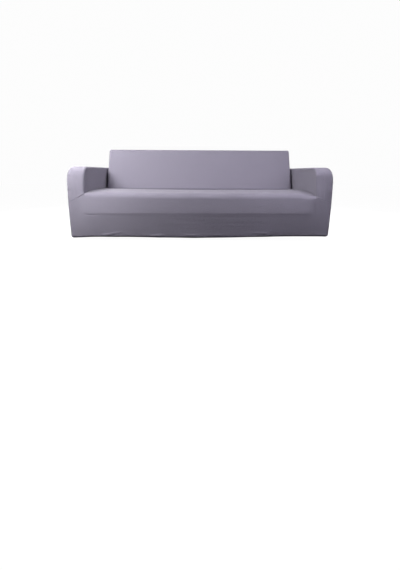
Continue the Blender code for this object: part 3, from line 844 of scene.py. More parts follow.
@dataclass(frozen=True)
class Drape:
    """What the pulled cloth does on top of the form: seams tuck and pucker, and slack lies in long low folds.

    Lengths are in metres. The seams on the arm fronts are pulled flatter: front_ease is what is left of their
    tuck, within front_depth of the front and beyond front_start from the middle.
    """

    tuck: float = 0.0024
    tuck_width: float = 0.006
    swell: float = 0.0007
    swell_place: float = 0.011
    swell_width: float = 0.006
    pucker: float = 0.0005
    pucker_length: float = 0.034
    pucker_reach: float = 0.010
    pucker_drift: float = 1.7
    pucker_drift_rate: float = 0.31
    pucker_swing: float = 0.4
    pucker_swing_rate: float = 0.17
    front_ease: float = 0.50
    front_depth: float = 0.04
    front_depth_run: float = 0.02
    front_start: float = 0.950
    front_start_run: float = 0.01
    wrinkle_reach: float = 0.06
    wrinkles: tuple[Wrinkle, ...] = (
        # the crease at the foot of the backrest
        Wrinkle((0.0, 0.600, 0.405), (1.0, 0.0, 0.0), 0.98, 0.0066, -0.011),
        # ridges that run out from the seat's front corners
        Wrinkle((-0.984, 0.0, 0.390), (-0.051, 0.0, -0.032), 0.034, 0.0045, 0.0038),
        Wrinkle((0.975, 0.0, 0.371), (0.050, 0.0, -0.015), 0.034, 0.0045, 0.0032),
        # the foot of the step under the seat: eased along its middle, pinched in at its left end
        Wrinkle((0.060, 0.0, 0.230), (1.0, 0.0, 0.0), 0.80, 0.0070, 0.0013),
        Wrinkle((-0.895, 0.0, 0.2315), (1.0, 0.0, 0.0), 0.060, 0.0055, -0.0022),
        # the dip beyond the step's right end
        Wrinkle((0.932, 0.0, 0.270), (0.04, 0.0, 1.0), 0.055, 0.0170, -0.0045),
        # slack along the front hem
        Wrinkle((-0.735, 0.0, 0.073), (0.139, 0.0, 0.0275), 0.075, 0.0065, 0.0055),
        Wrinkle((-0.364, 0.0, 0.060), (1.0, 0.0, 0.02), 0.055, 0.0060, 0.0045),
        Wrinkle((-0.075, 0.0, 0.061), (1.0, 0.0, -0.03), 0.055, 0.0060, 0.0045),
        Wrinkle((0.131, 0.0, 0.063), (1.0, 0.0, 0.02), 0.050, 0.0060, 0.0035),
        Wrinkle((0.490, 0.0, 0.080), (1.0, 0.0, -0.04), 0.060, 0.0065, 0.0050),
        # faint lines of stretch across the apron
        Wrinkle((-0.20, 0.0, 0.213), (1.0, 0.0, 0.01), 0.26, 0.0060, 0.0007),
        Wrinkle((0.12, 0.0, 0.197), (1.0, 0.0, -0.01), 0.30, 0.0070, 0.0008),
        Wrinkle((0.30, 0.0, 0.176), (1.0, 0.0, 0.01), 0.28, 0.0070, 0.0008),
        Wrinkle((-0.10, 0.0, 0.160), (1.0, 0.0, 0.0), 0.24, 0.0060, 0.0007),
        Wrinkle((0.20, 0.0, 0.142), (1.0, 0.0, 0.01), 0.32, 0.0070, 0.0008),
        Wrinkle((0.05, 0.0, 0.122), (1.0, 0.0, -0.01), 0.25, 0.0060, 0.0006),
    )

    def lift(
        self, points: np.ndarray, normals: np.ndarray, seam: np.ndarray, along: np.ndarray
    ) -> np.ndarray:
        """How far each point moves out along its normal.

        Args:
            points: points on the form.
            normals: their outward directions.
            seam: distance to the nearest seam.
            along: the cloth's measure along that seam.

        Returns:
            The seam's tuck, -tuck (1 - d / width)^2, plus a bell-shaped swell beside it, plus the puckers,
            which grow and fade with the distance d as d exp(-d), plus the wrinkles.
        """
        at_front = smooth((self.front_depth - points[:, 1]) / self.front_depth_run)
        at_front = at_front * smooth((np.abs(points[:, 0]) - self.front_start) / self.front_start_run)
        tuck = self.tuck * (1.0 - (1.0 - self.front_ease) * at_front)
        lift = -tuck * (1.0 - np.clip(seam / self.tuck_width, 0.0, 1.0)) ** 2
        lift = lift + self.swell * np.exp(-(((seam - self.swell_place) / self.swell_width) ** 2))
        away = seam / self.pucker_reach
        lift = lift + self.pucker * self.pucker_wave(along) * away * np.exp(1.0 - away)
        return lift + self.folds(points, normals)

    def pucker_wave(self, along: np.ndarray) -> np.ndarray:
        """Uneven wave of the puckers along a seam.

        Args:
            along: the cloth's measure along the seam.

        Returns:
            A sine whose phase drifts by a slower sine, and whose height swings by a still slower one.
        """
        phase = 2 * math.pi * along / self.pucker_length
        drift = self.pucker_drift * np.sin(self.pucker_drift_rate * phase)
        swing = self.pucker_swing * np.sin(self.pucker_swing_rate * phase + 1.0)
        return np.sin(phase + drift) * (1.0 - self.pucker_swing + swing)

    def folds(self, points: np.ndarray, normals: np.ndarray) -> np.ndarray:
        """Height of the wrinkles.

        Args:
            points: points on the form.
            normals: their outward directions.

        Returns:
            The sum of the wrinkles: each is a flat-topped bell, exp(-t^4), along its run times a bell,
            exp(-s^2), across it. Nothing is added farther from its line than wrinkle_reach.
        """
        total = np.zeros(points.shape[:-1])
        for fold in self.wrinkles:
            runs = np.array(fold.runs) / np.linalg.norm(fold.runs)
            offset = points - np.array(fold.middle)
            along = offset @ runs
            across = offset - along[..., None] * runs
            near = np.linalg.norm(across, axis=-1) < self.wrinkle_reach
            across -= (across * normals).sum(axis=-1, keepdims=True) * normals
            width = np.linalg.norm(across, axis=-1)
            falls = (along / fold.half_length) ** 4
            total += near * fold.height * np.exp(-falls - (width / fold.half_width) ** 2)
        return total


@dataclass
class Tailor:
    """Makes panels of cloth: a fine grid on the form, lifted by the drape, with its thickness and measure."""

    plan: CutPlan
    drape: Drape
    grid: float = 0.0080
    gap: float = 0.0003
    seam_marks: tuple[float, ...] = (0.0012, 0.0028, 0.0050)
    sharp_angle: float = math.radians(60.0)

    def marks(self, lengths: np.ndarray, seam_first: bool, seam_last: bool) -> np.ndarray:
        """Positions of the fine grid's lines, counted in seed intervals.

        Args:
            lengths: length of each interval between seeds.
            seam_first: add lines close to the first edge.
            seam_last: add lines close to the last edge.

        Returns:
            Each interval in equal steps of about the grid size, with the added lines.
        """
        counts = np.maximum(np.ceil(lengths / self.grid), 1).astype(int)
        places = [k + np.arange(n) / n for k, n in enumerate(counts)]
        places = list(np.concatenate(places)) + [float(len(lengths))]
        for mark in self.seam_marks:
            if seam_first and lengths[0] > 2 * mark:
                places.append(mark / lengths[0])
            if seam_last and lengths[-1] > 2 * mark:
                places.append(len(lengths) - mark / lengths[-1])
        return np.unique(np.round(places, MARK_DIGITS))

    @staticmethod
    def spread(grid: np.ndarray, marks: np.ndarray, axis: int) -> np.ndarray:
        """Grid read at marks between its lines.

        Args:
            grid: grid of points.
            marks: places along the axis, counted in the grid's lines.
            axis: the axis that the marks are on.

        Returns:
            The new grid: each new line is a straight blend of the two lines beside it.
        """
        low = np.minimum(marks.astype(int), grid.shape[axis] - 2)
        lines = np.moveaxis(grid, axis, 0)
        share = (marks - low).reshape((-1,) + (1,) * (lines.ndim - 1))
        return np.moveaxis(lines[low] * (1 - share) + lines[low + 1] * share, 0, axis)

    def refine(self, patch: Patch, column_marks: np.ndarray | None) -> tuple[np.ndarray, np.ndarray]:
        """Fine grid of a patch's seeds.

        Args:
            patch: the patch.
            column_marks: marks of the second axis, where a joined patch gives them.

        Returns:
            The fine seeds and the second axis's marks.
        """
        rough = self.plan.form.settle(patch.seeds)
        marks = []
        for axis in (0, 1):
            lengths = np.linalg.norm(np.diff(rough, axis=axis), axis=-1).max(axis=1 - axis)
            seams = [rim is Rim.SEAM for rim in patch.rims[2 * axis : 2 * axis + 2]]
            marks.append(self.marks(lengths, *seams))
        if column_marks is not None:
            marks[1] = column_marks
        return self.spread(self.spread(patch.seeds, marks[0], 0), marks[1], 1), marks[1]

    @staticmethod
    def run_lengths(points: np.ndarray, axis: int) -> np.ndarray:
        """Length of cloth along a grid axis.

        Args:
            points: grid of points.
            axis: the axis to run along.

        Returns:
            At each point, the sum of the steps from the axis's first line.
        """
        steps = np.linalg.norm(np.diff(points, axis=axis), axis=-1)
        pad = [(0, 0), (0, 0)]
        pad[axis] = (1, 0)
        return np.pad(np.cumsum(steps, axis=axis), pad)

    def measure(
        self, patch: Patch, points: np.ndarray, marks: np.ndarray, start: np.ndarray | None
    ) -> tuple[np.ndarray, np.ndarray, np.ndarray]:
        """The cloth's own measure over a patch.

        Args:
            patch: the patch.
            points: its fine points.
            marks: the second axis's marks, in seed intervals.
            start: measure across along the edge that a joined patch runs on from, or None.

        Returns:
            (u, v) in metres across and along the knit, the distance to the nearest seam, and the measure
            along it.
        """
        runs = [self.run_lengths(points, axis) for axis in (0, 1)]
        across, v = runs[patch.across], runs[1 - patch.across]
        u = across - np.take(across, [-1], axis=patch.across) / 2
        if start is not None:
            u = start[None, :] + math.copysign(1.0, points[-1, 0, 0]) * across
        if patch.from_end:
            v = v - np.take(v, [-1], axis=1 - patch.across)
        seam = np.full(points.shape[:2], FAR)
        along = np.zeros(points.shape[:2])
        for number, rim in enumerate(patch.rims):
            if rim is not Rim.SEAM:
                continue
            axis = number // 2
            away = runs[axis] if number % 2 == 0 else np.take(runs[axis], [-1], axis=axis) - runs[axis]
            if axis == 0 and patch.seam_span and not (patch.joined and number == 1):
                low, high = (np.searchsorted(marks, row - HAIR) for row in patch.seam_span)
                high = min(high, len(marks) - 1)
                beyond = np.maximum(runs[1][:, [low]] - runs[1], runs[1] - runs[1][:, [high]])
                away = np.hypot(away, np.maximum(beyond, 0.0))
            along = np.where(away < seam, runs[1 - axis], along)
            seam = np.minimum(seam, away)
        return np.stack([u, v], axis=-1), seam, along

    def panel(self, name: str, patches: list[Patch]) -> bpy.types.Object:
        """One panel of cloth as a closed sheet of its thickness, at the finished cover's origin.

        Args:
            name: the object's name.
            patches: the panel's patches; the second and later ones run on from the sides of the first.

        Returns:
            The new object, with its knit measure as the UV map "knit".
        """
        form = self.plan.form
        parts: list[tuple[np.ndarray, ...]] = []
        start, main_marks, main_across = 0, None, None
        for patch in patches:
            marks = self.shared_marks(patch, patches[0], main_marks) if patch.joined else None
            fine, marks = self.refine(patch, marks)
            points = form.settle(fine)
            across = self.joined_measure(patch, points, marks, main_across) if patch.joined else None
            measure, seam, along = self.measure(patch, points, marks, across)
            if not patch.joined:
                main_marks, main_across = marks, measure[..., 0]
            flat = points.reshape(-1, 3)
            quads = self.outward_quads(points) + start
            parts.append((flat, quads, measure.reshape(-1, 2), seam.reshape(-1), along.reshape(-1)))
            start += len(flat)
        points, faces, loops, seam, along = self.sew(parts)
        slope = form.slope(points)
        normals = slope / np.linalg.norm(slope, axis=-1, keepdims=True)
        edges = self.free_edges(faces)
        points = points + normals * self.drape.lift(points, normals, seam, along)[:, None]
        points = self.draw_in(points, normals, edges) - form.origin
        return self.shell(name, points, normals, faces, loops, edges)

    def joined_measure(
        self, patch: Patch, points: np.ndarray, marks: np.ndarray, main: np.ndarray
    ) -> np.ndarray:
        """Measure across along the edge that a joined patch runs on from.

        Args:
            patch: the joined patch.
            points: its fine points.
            marks: the second axis's marks.
            main: the first patch's measure across.

        Returns:
            The first patch's measure on the side that the patch is on, held at its last shared value beyond
            the edge that they share.
        """
        edge = main[0] if points[-1, 0, 0] < 0 else main[-1]
        count = len(marks)
        if patch.from_end:
            return edge[-count:]
        shared = int((marks <= self.plan.rear_join + HAIR).sum())
        return np.where(np.arange(count) < shared, np.resize(edge, count), edge[shared - 1])

    @staticmethod
    def sew(parts: list[tuple[np.ndarray, ...]]) -> tuple[np.ndarray, ...]:
        """Join the patches of one panel into one sheet.

        Args:
            parts: each patch's points, faces, knit measures, distances to a seam and measures along it.

        Returns:
            The same for the sheet, with the knit measures at the faces' corners. Points in one place have
            become one, and faces that closed up are gone.
        """
        points, faces, measures, seams, alongs = (np.concatenate(column) for column in zip(*parts))
        places = np.round(points, POINT_DIGITS)
        _, first, merged = np.unique(places, axis=0, return_index=True, return_inverse=True)
        merged = merged.reshape(-1)
        seam = np.full(len(first), FAR)
        np.minimum.at(seam, merged, seams)
        loops, faces = measures[faces], merged[faces]
        whole = (faces != np.roll(faces, 1, axis=1)).all(axis=1)
        return points[first], faces[whole], loops[whole], seam, alongs[first]

    def outward_quads(self, points: np.ndarray) -> np.ndarray:
        """Four-sided faces of a grid of points.

        Args:
            points: grid of points on the form.

        Returns:
            Point numbers of each face, turned so that the faces look the way the form's slope points.
        """
        rows, columns = points.shape[:2]
        index = np.arange(rows * columns).reshape(rows, columns)
        corners = [index[:-1, :-1], index[1:, :-1], index[1:, 1:], index[:-1, 1:]]
        quads = np.stack(corners, axis=-1).reshape(-1, 4)
        flat, normals = points.reshape(-1, 3), self.plan.form.slope(points).reshape(-1, 3)
        looks = np.cross(flat[quads[:, 2]] - flat[quads[:, 0]], flat[quads[:, 3]] - flat[quads[:, 1]])
        return quads[:, ::-1] if (looks * normals[quads[:, 0]]).sum() < 0 else quads

    def shared_marks(self, patch: Patch, main: Patch, marks: np.ndarray) -> np.ndarray:
        """Marks of the second axis that a joined patch takes from the main one, along the edge they share.

        Args:
            patch: the joined patch.
            main: the main patch.
            marks: the main patch's marks.

        Returns:
            The main marks along the shared edge, then the patch's own marks beyond it.
        """
        if patch.from_end:
            extra = main.seeds.shape[1] - patch.seeds.shape[1]
            return np.round(marks[marks >= extra - HAIR] - extra, MARK_DIGITS)
        settled = self.plan.form.settle(patch.seeds)
        lengths = np.linalg.norm(np.diff(settled, axis=1), axis=-1).max(axis=0)
        own = self.marks(lengths, False, True)
        joined = self.plan.rear_join + HAIR
        return np.concatenate([marks[marks <= joined], own[own > joined]])

    @staticmethod
    def free_edges(faces: np.ndarray) -> np.ndarray:
        """Border edges of a sheet.

        Args:
            faces: four-sided faces.

        Returns:
            Pairs of points that only one face uses, each directed so that the cloth is on its left.
        """
        pairs = np.concatenate([faces[:, [k, (k + 1) % 4]] for k in range(4)])
        size = int(faces.max()) + 1
        forward = pairs[:, 0].astype(np.int64) * size + pairs[:, 1]
        backward = pairs[:, 1].astype(np.int64) * size + pairs[:, 0]
        return pairs[~np.isin(forward, backward)]

    def draw_in(self, points: np.ndarray, normals: np.ndarray, edges: np.ndarray) -> np.ndarray:
        """Move border points into the cloth by half of the gap between panels.

        Args:
            points: the sheet's points.
            normals: their outward directions.
            edges: directed border edges.

        Returns:
            The points, moved along normal x edge direction.
        """
        away = points[edges[:, 1]] - points[edges[:, 0]]
        away /= np.maximum(np.linalg.norm(away, axis=1, keepdims=True), HAIR)
        inward = np.zeros_like(points)
        for end in (0, 1):
            np.add.at(inward, edges[:, end], np.cross(normals[edges[:, end]], away))
        length = np.linalg.norm(inward, axis=1, keepdims=True)
        moved = points.copy()
        on_border = length[:, 0] > 0
        moved[on_border] += inward[on_border] / length[on_border] * self.gap / 2
        return moved

    def shell(
        self,
        name: str,
        points: np.ndarray,
        normals: np.ndarray,
        faces: np.ndarray,
        loops: np.ndarray,
        edges: np.ndarray,
    ) -> bpy.types.Object:
        """Closed sheet: the face side, the reverse one thickness below it, and the cut edge between them.

        Args:
            name: the object's name.
            points: middle surface.
            normals: outward directions.
            faces: four-sided faces of the face side.
            loops: knit measure at each face's corners.
            edges: directed border edges.

        Returns:
            The object, with material index 0 on the face side and 1 on the reverse.
        """
        count = len(points)
        a, b = edges[:, 0], edges[:, 1]
        rim = np.stack([b, a, a + count, b + count], axis=1)
        quads = np.vstack([faces, faces[:, ::-1] + count, rim])
        shell = np.vstack([points + normals * THICKNESS / 2, points - normals * THICKNESS / 2])
        by_point = np.zeros((count, 2))
        by_point[faces.reshape(-1)] = loops.reshape(-1, 2)
        edge_loops = by_point[np.stack([b, a, a, b], axis=1)]
        measure = np.vstack([loops, loops[:, ::-1], edge_loops])
        mesh = bpy.data.meshes.new(name)
        mesh.vertices.add(len(shell))
        mesh.vertices.foreach_set("co", shell.astype(np.float32).ravel())
        mesh.loops.add(quads.size)
        mesh.loops.foreach_set("vertex_index", quads.astype(np.int32).ravel())
        mesh.polygons.add(len(quads))
        mesh.polygons.foreach_set("loop_start", np.arange(0, quads.size, 4, dtype=np.int32))
        mesh.update(calc_edges=True)
        layer = mesh.uv_layers.new(name="knit")
        layer.data.foreach_set("uv", measure.astype(np.float32).ravel())
        reverse = np.concatenate([np.zeros(len(faces)), np.ones(len(faces) + len(rim))]).astype(np.int32)
        mesh.polygons.foreach_set("material_index", reverse)
        mesh.validate()
        mesh.shade_smooth()
        mesh.set_sharp_from_angle(angle=self.sharp_angle)
        panel = bpy.data.objects.new(name, mesh)
        bpy.context.scene.collection.objects.link(panel)
        return panel


@dataclass(frozen=True)
class NodeBench:
    """Lays out shader nodes. An input is given as a socket to join, or as a number or colour to set."""

    tree: bpy.types.NodeTree

    def put(self, slot: bpy.types.NodeSocket, value: object) -> None:
        """Join a socket to an input, or set the input.

        Args:
            slot: the input.
            value: a socket, a number or a tuple of numbers.
        """
        if isinstance(value, (int, float, tuple)):
            slot.default_value = value
        else:
            self.tree.links.new(value, slot)

    def calc(self, operation: str, *values: object) -> bpy.types.NodeSocket:
        """Result of a Math node.

        Args:
            operation: the node's operation.
            values: its inputs.

        Returns:
            The result's socket.
        """
        node = self.tree.nodes.new("ShaderNodeMath")
        node.operation = operation
        for slot, value in zip(node.inputs, values):
            self.put(slot, value)
        return node.outputs[0]

    def oval(self, a: object, b: object, size: tuple[float, float]) -> bpy.types.NodeSocket:
        """Distance from the middle of an oval, which is 1 on its edge.

        Args:
            a: place along the first axis.
            b: place along the second axis.
            size: the oval's half lengths.

        Returns:
            The root of (a / size_a)^2 + (b / size_b)^2.
        """
        squares = [self.calc("POWER", self.calc("DIVIDE", *pair), 2.0) for pair in zip((a, b), size)]
        return self.calc("SQRT", self.calc("ADD", *squares))

    def fade(self, value: bpy.types.NodeSocket, ends: tuple[float, float]) -> bpy.types.NodeSocket:
        """Smooth step.

        Args:
            value: what is read.
            ends: where the result is 0, and where it is 1.

        Returns:
            The result's socket.
        """
        node = self.tree.nodes.new("ShaderNodeMapRange")
        node.interpolation_type = "SMOOTHSTEP"
        self.put(node.inputs["Value"], value)
        self.put(node.inputs["From Min"], ends[0])
        self.put(node.inputs["From Max"], ends[1])
        return node.outputs["Result"]

    def mix(self, share: object, a: object, b: object, way: str = "MIX") -> bpy.types.NodeSocket:
        """Mixed colour.

        Args:
            share: 0 gives a, 1 gives b mixed in fully.
            a: the first colour.
            b: the second colour.
            way: how b is mixed in.

        Returns:
            The colour's socket.
        """
        node = self.tree.nodes.new("ShaderNodeMix")
        node.data_type = "RGBA"
        node.blend_type = way
        # a Mix node has its colours at inputs 6 and 7 and output 2
        self.put(node.inputs[0], share)
        for slot, color in ((node.inputs[6], a), (node.inputs[7], b)):
            self.put(slot, (*color, 1.0) if isinstance(color, tuple) else color)
        return node.outputs[2]

    def noise(self, place: bpy.types.NodeSocket, scale: float) -> bpy.types.Node:
        """Noise texture.

        Args:
            place: where it is read.
            scale: how many of its grains go into a metre.

        Returns:
            The node, with outputs "Fac" and "Color".
        """
        node = self.tree.nodes.new("ShaderNodeTexNoise")
        self.put(node.inputs["Scale"], scale)
        self.put(node.inputs["Detail"], 1.0)
        self.put(node.inputs["Vector"], place)
        return node


@dataclass(frozen=True)
class Knit:
    """Jacquard stretch knit: light oval bumps in staggered columns over a darker ground, with deep dots.

    column and pitch are the width and height of a bump's cell in metres. Sizes and places of bumps and dots
    are in cells, and each edge gives the distances where a bump or dot fades in and is full. The dots' dark
    colour is partly the knit's own dark hollow and partly painted shadow, the shadow that the bump beside
    each dot throws into it.
    """

    name: str = "knit_face"
    column: float = 0.0030
    pitch: float = 0.0037
    bump_size: tuple[float, float] = (0.56, 0.345)
    bump_edge: tuple[float, float] = (1.08, 0.72)
    bump_color: tuple[float, float, float] = (0.398, 0.375, 0.446)
    ground_color: tuple[float, float, float] = (0.199, 0.183, 0.231)
    dot_size: tuple[float, float] = (0.31, 0.30)
    dot_aside: float = 0.22
    dot_edge: tuple[float, float] = (1.10, 0.55)
    # painted shadow: the dots' dark colour, partly the knit's own hollow, partly the shadow of the bump
    # beside it
    dot_shade_color: tuple[float, float, float] = (0.053, 0.046, 0.070)
    dot_shade_share: float = 0.95
    drift: float = 0.0016
    drift_scale: float = 60.0
    yarn_scale: float = 2600.0
    yarn_gain: float = 1.4
    yarn_base: float = 0.30
    relief: float = 0.55
    relief_depth: float = 0.0006
    dot_relief: float = 0.7
    yarn_relief: float = 0.25
    roughness: float = 0.88
    sheen: float = 0.18
    sheen_roughness: float = 0.45
    specular: float = 0.25

    def build(self) -> bpy.types.Material:
        """Make the material.

        Returns:
            A material whose colour and relief come from the knit measure, u across and v along.
        """
        material = bpy.data.materials.new(self.name)
        material.use_nodes = True
        nodes = material.node_tree.nodes
        bench = NodeBench(material.node_tree)
        shader = nodes["Principled BSDF"]
        bench.put(shader.inputs["Roughness"], self.roughness)
        bench.put(shader.inputs["Sheen Weight"], self.sheen)
        bench.put(shader.inputs["Sheen Roughness"], self.sheen_roughness)
        bench.put(shader.inputs["Specular IOR Level"], self.specular)
        cloth = nodes.new("ShaderNodeUVMap")
        cloth.uv_map = "knit"
        bump, dot = self.pattern(bench, cloth.outputs[0])
        yarn = bench.noise(cloth.outputs[0], self.yarn_scale).outputs["Fac"]
        plain = bench.mix(bump, self.ground_color, self.bump_color)
        # the dots mix painted shadow into the base colour: partly the knit's dark hollow, partly the shadow
        # of the bump beside each
        shade_dotted = bench.mix(bench.calc("MULTIPLY", dot, self.dot_shade_share), plain, self.dot_shade_color)
        fleck = bench.calc("MULTIPLY_ADD", yarn, self.yarn_gain, self.yarn_base)
        bench.put(shader.inputs["Base Color"], bench.mix(1.0, shade_dotted, fleck, "MULTIPLY"))
        height = bench.calc("SUBTRACT", bump, bench.calc("MULTIPLY", dot, self.dot_relief))
        height = bench.calc("ADD", height, bench.calc("MULTIPLY", yarn, self.yarn_relief))
        relief = nodes.new("ShaderNodeBump")
        bench.put(relief.inputs["Strength"], self.relief)
        bench.put(relief.inputs["Distance"], self.relief_depth)
        bench.put(relief.inputs["Height"], height)
        bench.put(shader.inputs["Normal"], relief.outputs[0])
        return material

    def pattern(
        self, bench: NodeBench, measure: bpy.types.NodeSocket
    ) -> tuple[bpy.types.NodeSocket, bpy.types.NodeSocket]:
        """Bumps and dots over the cloth.

        Args:
            bench: lays out the nodes.
            measure: the cloth's own measure in metres.

        Returns:
            How far a place is on a bump, and how far on a dot, from 0 to 1. The measure drifts a little, as
            knit does. Each cell has an oval bump in its middle, and an oval dot aside of it at its ends, on
            the side where the bump beside it throws its shadow: the dot carries painted shadow as well as the
            knit's hollow.
            The cells of every second column are set off by half a cell.
        """
        nodes = bench.tree.nodes
        shift = nodes.new("ShaderNodeVectorMath")
        shift.operation = "MULTIPLY_ADD"
        bench.put(shift.inputs[0], bench.noise(measure, self.drift_scale).outputs["Color"])
        bench.put(shift.inputs[1], (self.drift, self.drift, 0.0))
        bench.put(shift.inputs[2], measure)
        split = nodes.new("ShaderNodeSeparateXYZ")
        bench.put(split.inputs[0], shift.outputs[0])
        across = bench.calc("DIVIDE", split.outputs[0], self.column)
        along = bench.calc("DIVIDE", split.outputs[1], self.pitch)
        odd = bench.calc("FLOORED_MODULO", bench.calc("FLOOR", across), 2.0)
        along = bench.calc("ADD", along, bench.calc("MULTIPLY", odd, 0.5))
        across = bench.calc("SUBTRACT", bench.calc("FRACT", across), 0.5)
        along = bench.calc("SUBTRACT", bench.calc("FRACT", along), 0.5)
        bump = bench.oval(across, along, self.bump_size)
        # the dot stands aside of the column's middle, where the bump's shadow falls; its colour there is
        # painted shadow
        aside = bench.calc("ADD", across, self.dot_aside)
        dot = bench.oval(aside, bench.calc("SUBTRACT", 0.5, bench.calc("ABSOLUTE", along)), self.dot_size)
        return bench.fade(bump, self.bump_edge), bench.fade(dot, self.dot_edge)


@dataclass
class Panel:
    """A sewn piece of the cover: the CAD node it stands for, its cut, its flat size and what it rests on.

    flat is the piece's width and length in metres; area, in square metres, is given where it isn't a
    rectangle.
    """

    node: str
    patches: list[Patch]
    flat: tuple[float, float]
    area: float | None = None
    rests_on: tuple[str, ...] = ()

    def make(self, tailor: Tailor, finishes: list[bpy.types.Material]) -> bpy.types.Object:
        """Sew the panel and dress it in its knit.

        Args:
            tailor: makes the cloth.
            finishes: materials of the face side and the reverse.

        Returns:
            The finished piece, riding on the root body in place of its node.
        """
        piece = tailor.panel(f"{self.node}_cloth", self.patches)
        for finish in finishes:
            piece.data.materials.append(finish)
        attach(piece, "root")
        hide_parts(self.node)
        LOG.info("%s: %d faces", piece.name, len(piece.data.polygons))
        return piece


@dataclass(frozen=True)
class SoftBox:
    """A studio light: place and aim above the floor, size in metres, power in watts and tint."""

    name: str
    place: tuple[float, float, float]
    aim: tuple[float, float, float]
    size: float
    power: float
    tint: tuple[float, float, float] = WHITE


@dataclass(frozen=True)
class Studio:
    """Pale floor and dome, soft boxes and the camera, in the finished cover's frame.

    camera_turn is in degrees, lens and sensor are in millimetres. dome_pole is left open at the middle of
    floor and dome, in metres and in radians.
    """

    origin: tuple[float, float, float]
    boxes: tuple[SoftBox, ...] = (
        SoftBox("key", (-1.60, -1.20, 1.20), (-0.40, 0.25, 0.45), 0.5, 11.1, (1.0, 0.995, 1.02)),
        SoftBox("left_low", (-1.50, -0.70, 0.50), (-0.38, 0.25, 0.45), 0.5, 1.9),
        SoftBox("left_front", (-1.20, -0.60, 1.00), (-0.30, 0.25, 0.45), 0.4, 11.2, (1.0, 1.0, 1.01)),
        SoftBox("left_rear", (-1.30, 0.30, 1.20), (-0.32, 0.25, 0.45), 0.4, 8.5),
        SoftBox("front_top", (1.00, -1.60, 1.70), (0.25, 0.25, 0.45), 0.8, 5.6, (1.0, 0.97, 1.16)),
        SoftBox("top_right", (1.50, -0.30, 2.20), (0.38, 0.25, 0.45), 0.8, 13.0, (1.0, 0.985, 1.05)),
        SoftBox("right_near", (0.80, -0.50, 1.20), (0.20, 0.25, 0.45), 0.6, 3.1, (1.0, 0.985, 1.05)),
        SoftBox("right_front", (1.30, -0.80, 0.90), (0.33, 0.25, 0.45), 0.4, 3.5, (1.0, 0.975, 1.10)),
        SoftBox("right_rear", (1.60, 0.60, 1.60), (0.40, 0.25, 0.45), 0.5, 3.1, (1.0, 0.985, 1.04)),
        SoftBox("rear_left", (-1.40, 2.80, 0.56), (-0.40, 0.80, 0.40), 0.9, 37.5),
        SoftBox("rear_right", (1.40, 2.80, 0.56), (0.40, 0.80, 0.40), 0.9, 30.0),
        SoftBox("side_left", (-3.00, 1.20, 0.56), (-1.10, 0.50, 0.35), 0.7, 15.0),
        SoftBox("side_right", (3.00, 1.20, 0.56), (1.10, 0.50, 0.35), 0.7, 15.0),
        SoftBox("seat_left", (-0.40, 0.10, 1.20), (-0.10, 0.25, 0.45), 0.5, 1.9),
        SoftBox("seat_right", (0.40, 0.10, 1.20), (0.10, 0.25, 0.45), 0.5, 1.2, (1.0, 0.985, 1.04)),
    )
    camera_place: tuple[float, float, float] = (-0.0569, -2.5644, 0.5788)
    camera_turn: tuple[float, float, float] = (90.0, -0.26, -1.065)
    lens: float = 19.636
    sensor: float = 36.0
    shift_y: float = -0.1975
    ambient: float = 0.0125
    dome_reach: float = 14.0
    dome_rings: int = 16
    dome_turns: int = 64
    dome_pole: float = 1e-3
    dome_glow: float = 0.98
    floor_grey: float = 0.20
    floor_glow: float = 0.975

    def build(self) -> None:
        """Lay the floor, hang the lights and set the camera."""
        self.backdrop()
        for box in self.boxes:
            self.light(box)
        self.world()
        self.camera()

    def moved(self, place: tuple[float, float, float]) -> tuple[float, ...]:
        """A place above the floor, in the finished cover's frame."""
        return tuple(a - b for a, b in zip(place, self.origin))

    def backdrop(self) -> None:
        """Pale floor disc and a pale dome over it; neither throws light back on the cloth."""
        disc = np.array([[self.dome_reach, 0.0], [self.dome_pole, 0.0]])
        floor = self.sheet_of_rings("studio_floor", disc, self.floor_grey, self.floor_glow)
        angles = np.linspace(0.0, math.pi / 2 - self.dome_pole, self.dome_rings + 1)
        profile = np.stack([self.dome_reach * np.cos(angles), self.dome_reach * np.sin(angles)], axis=1)
        dome = self.sheet_of_rings("studio_dome", profile, 0.0, self.dome_glow)
        for piece in (floor, dome):
            piece.visible_diffuse = False
            piece.visible_glossy = False
        dome.visible_shadow = False

    def sheet_of_rings(
        self, name: str, profile: np.ndarray, reflects: float, glow: float
    ) -> bpy.types.Object:
        """A surface of revolution about the upright through the cover's origin.

        Args:
            name: the object's name.
            profile: rows of radius and height above the floor.
            reflects: grey of its paper.
            glow: light that the paper gives off.

        Returns:
            The new object: point (i, j) lies at radius r_i, height h_i and angle 2 pi j / dome_turns.
        """
        turns = np.linspace(0.0, 2 * math.pi, self.dome_turns + 1)[:-1]
        radius, height = profile[:, :1], profile[:, 1:]
        points = np.stack([radius * np.cos(turns), radius * np.sin(turns), height + 0 * turns], axis=-1)
        points = points.reshape(-1, 3) - np.array([0.0, 0.0, self.origin[2]])
        index = np.arange(len(profile) * self.dome_turns).reshape(len(profile), self.dome_turns)
        beside = np.roll(index, -1, axis=1)
        quads = np.stack([index[:-1], beside[:-1], beside[1:], index[1:]], axis=-1).reshape(-1, 4)
        mesh = bpy.data.meshes.new(name)
        mesh.from_pydata(points.tolist(), [], quads.tolist())
        mesh.shade_smooth()
        material = bpy.data.materials.new(f"{name}_paper")
        material.use_nodes = True
        bench = NodeBench(material.node_tree)
        shader = material.node_tree.nodes["Principled BSDF"]
        bench.put(shader.inputs["Base Color"], (reflects, reflects, reflects, 1.0))
        bench.put(shader.inputs["Roughness"], 1.0)
        bench.put(shader.inputs["Specular IOR Level"], 0.0)
        bench.put(shader.inputs["Emission Color"], (*WHITE, 1.0))
        bench.put(shader.inputs["Emission Strength"], glow)
        mesh.materials.append(material)
        piece = bpy.data.objects.new(name, mesh)
        bpy.context.scene.collection.objects.link(piece)
        return piece

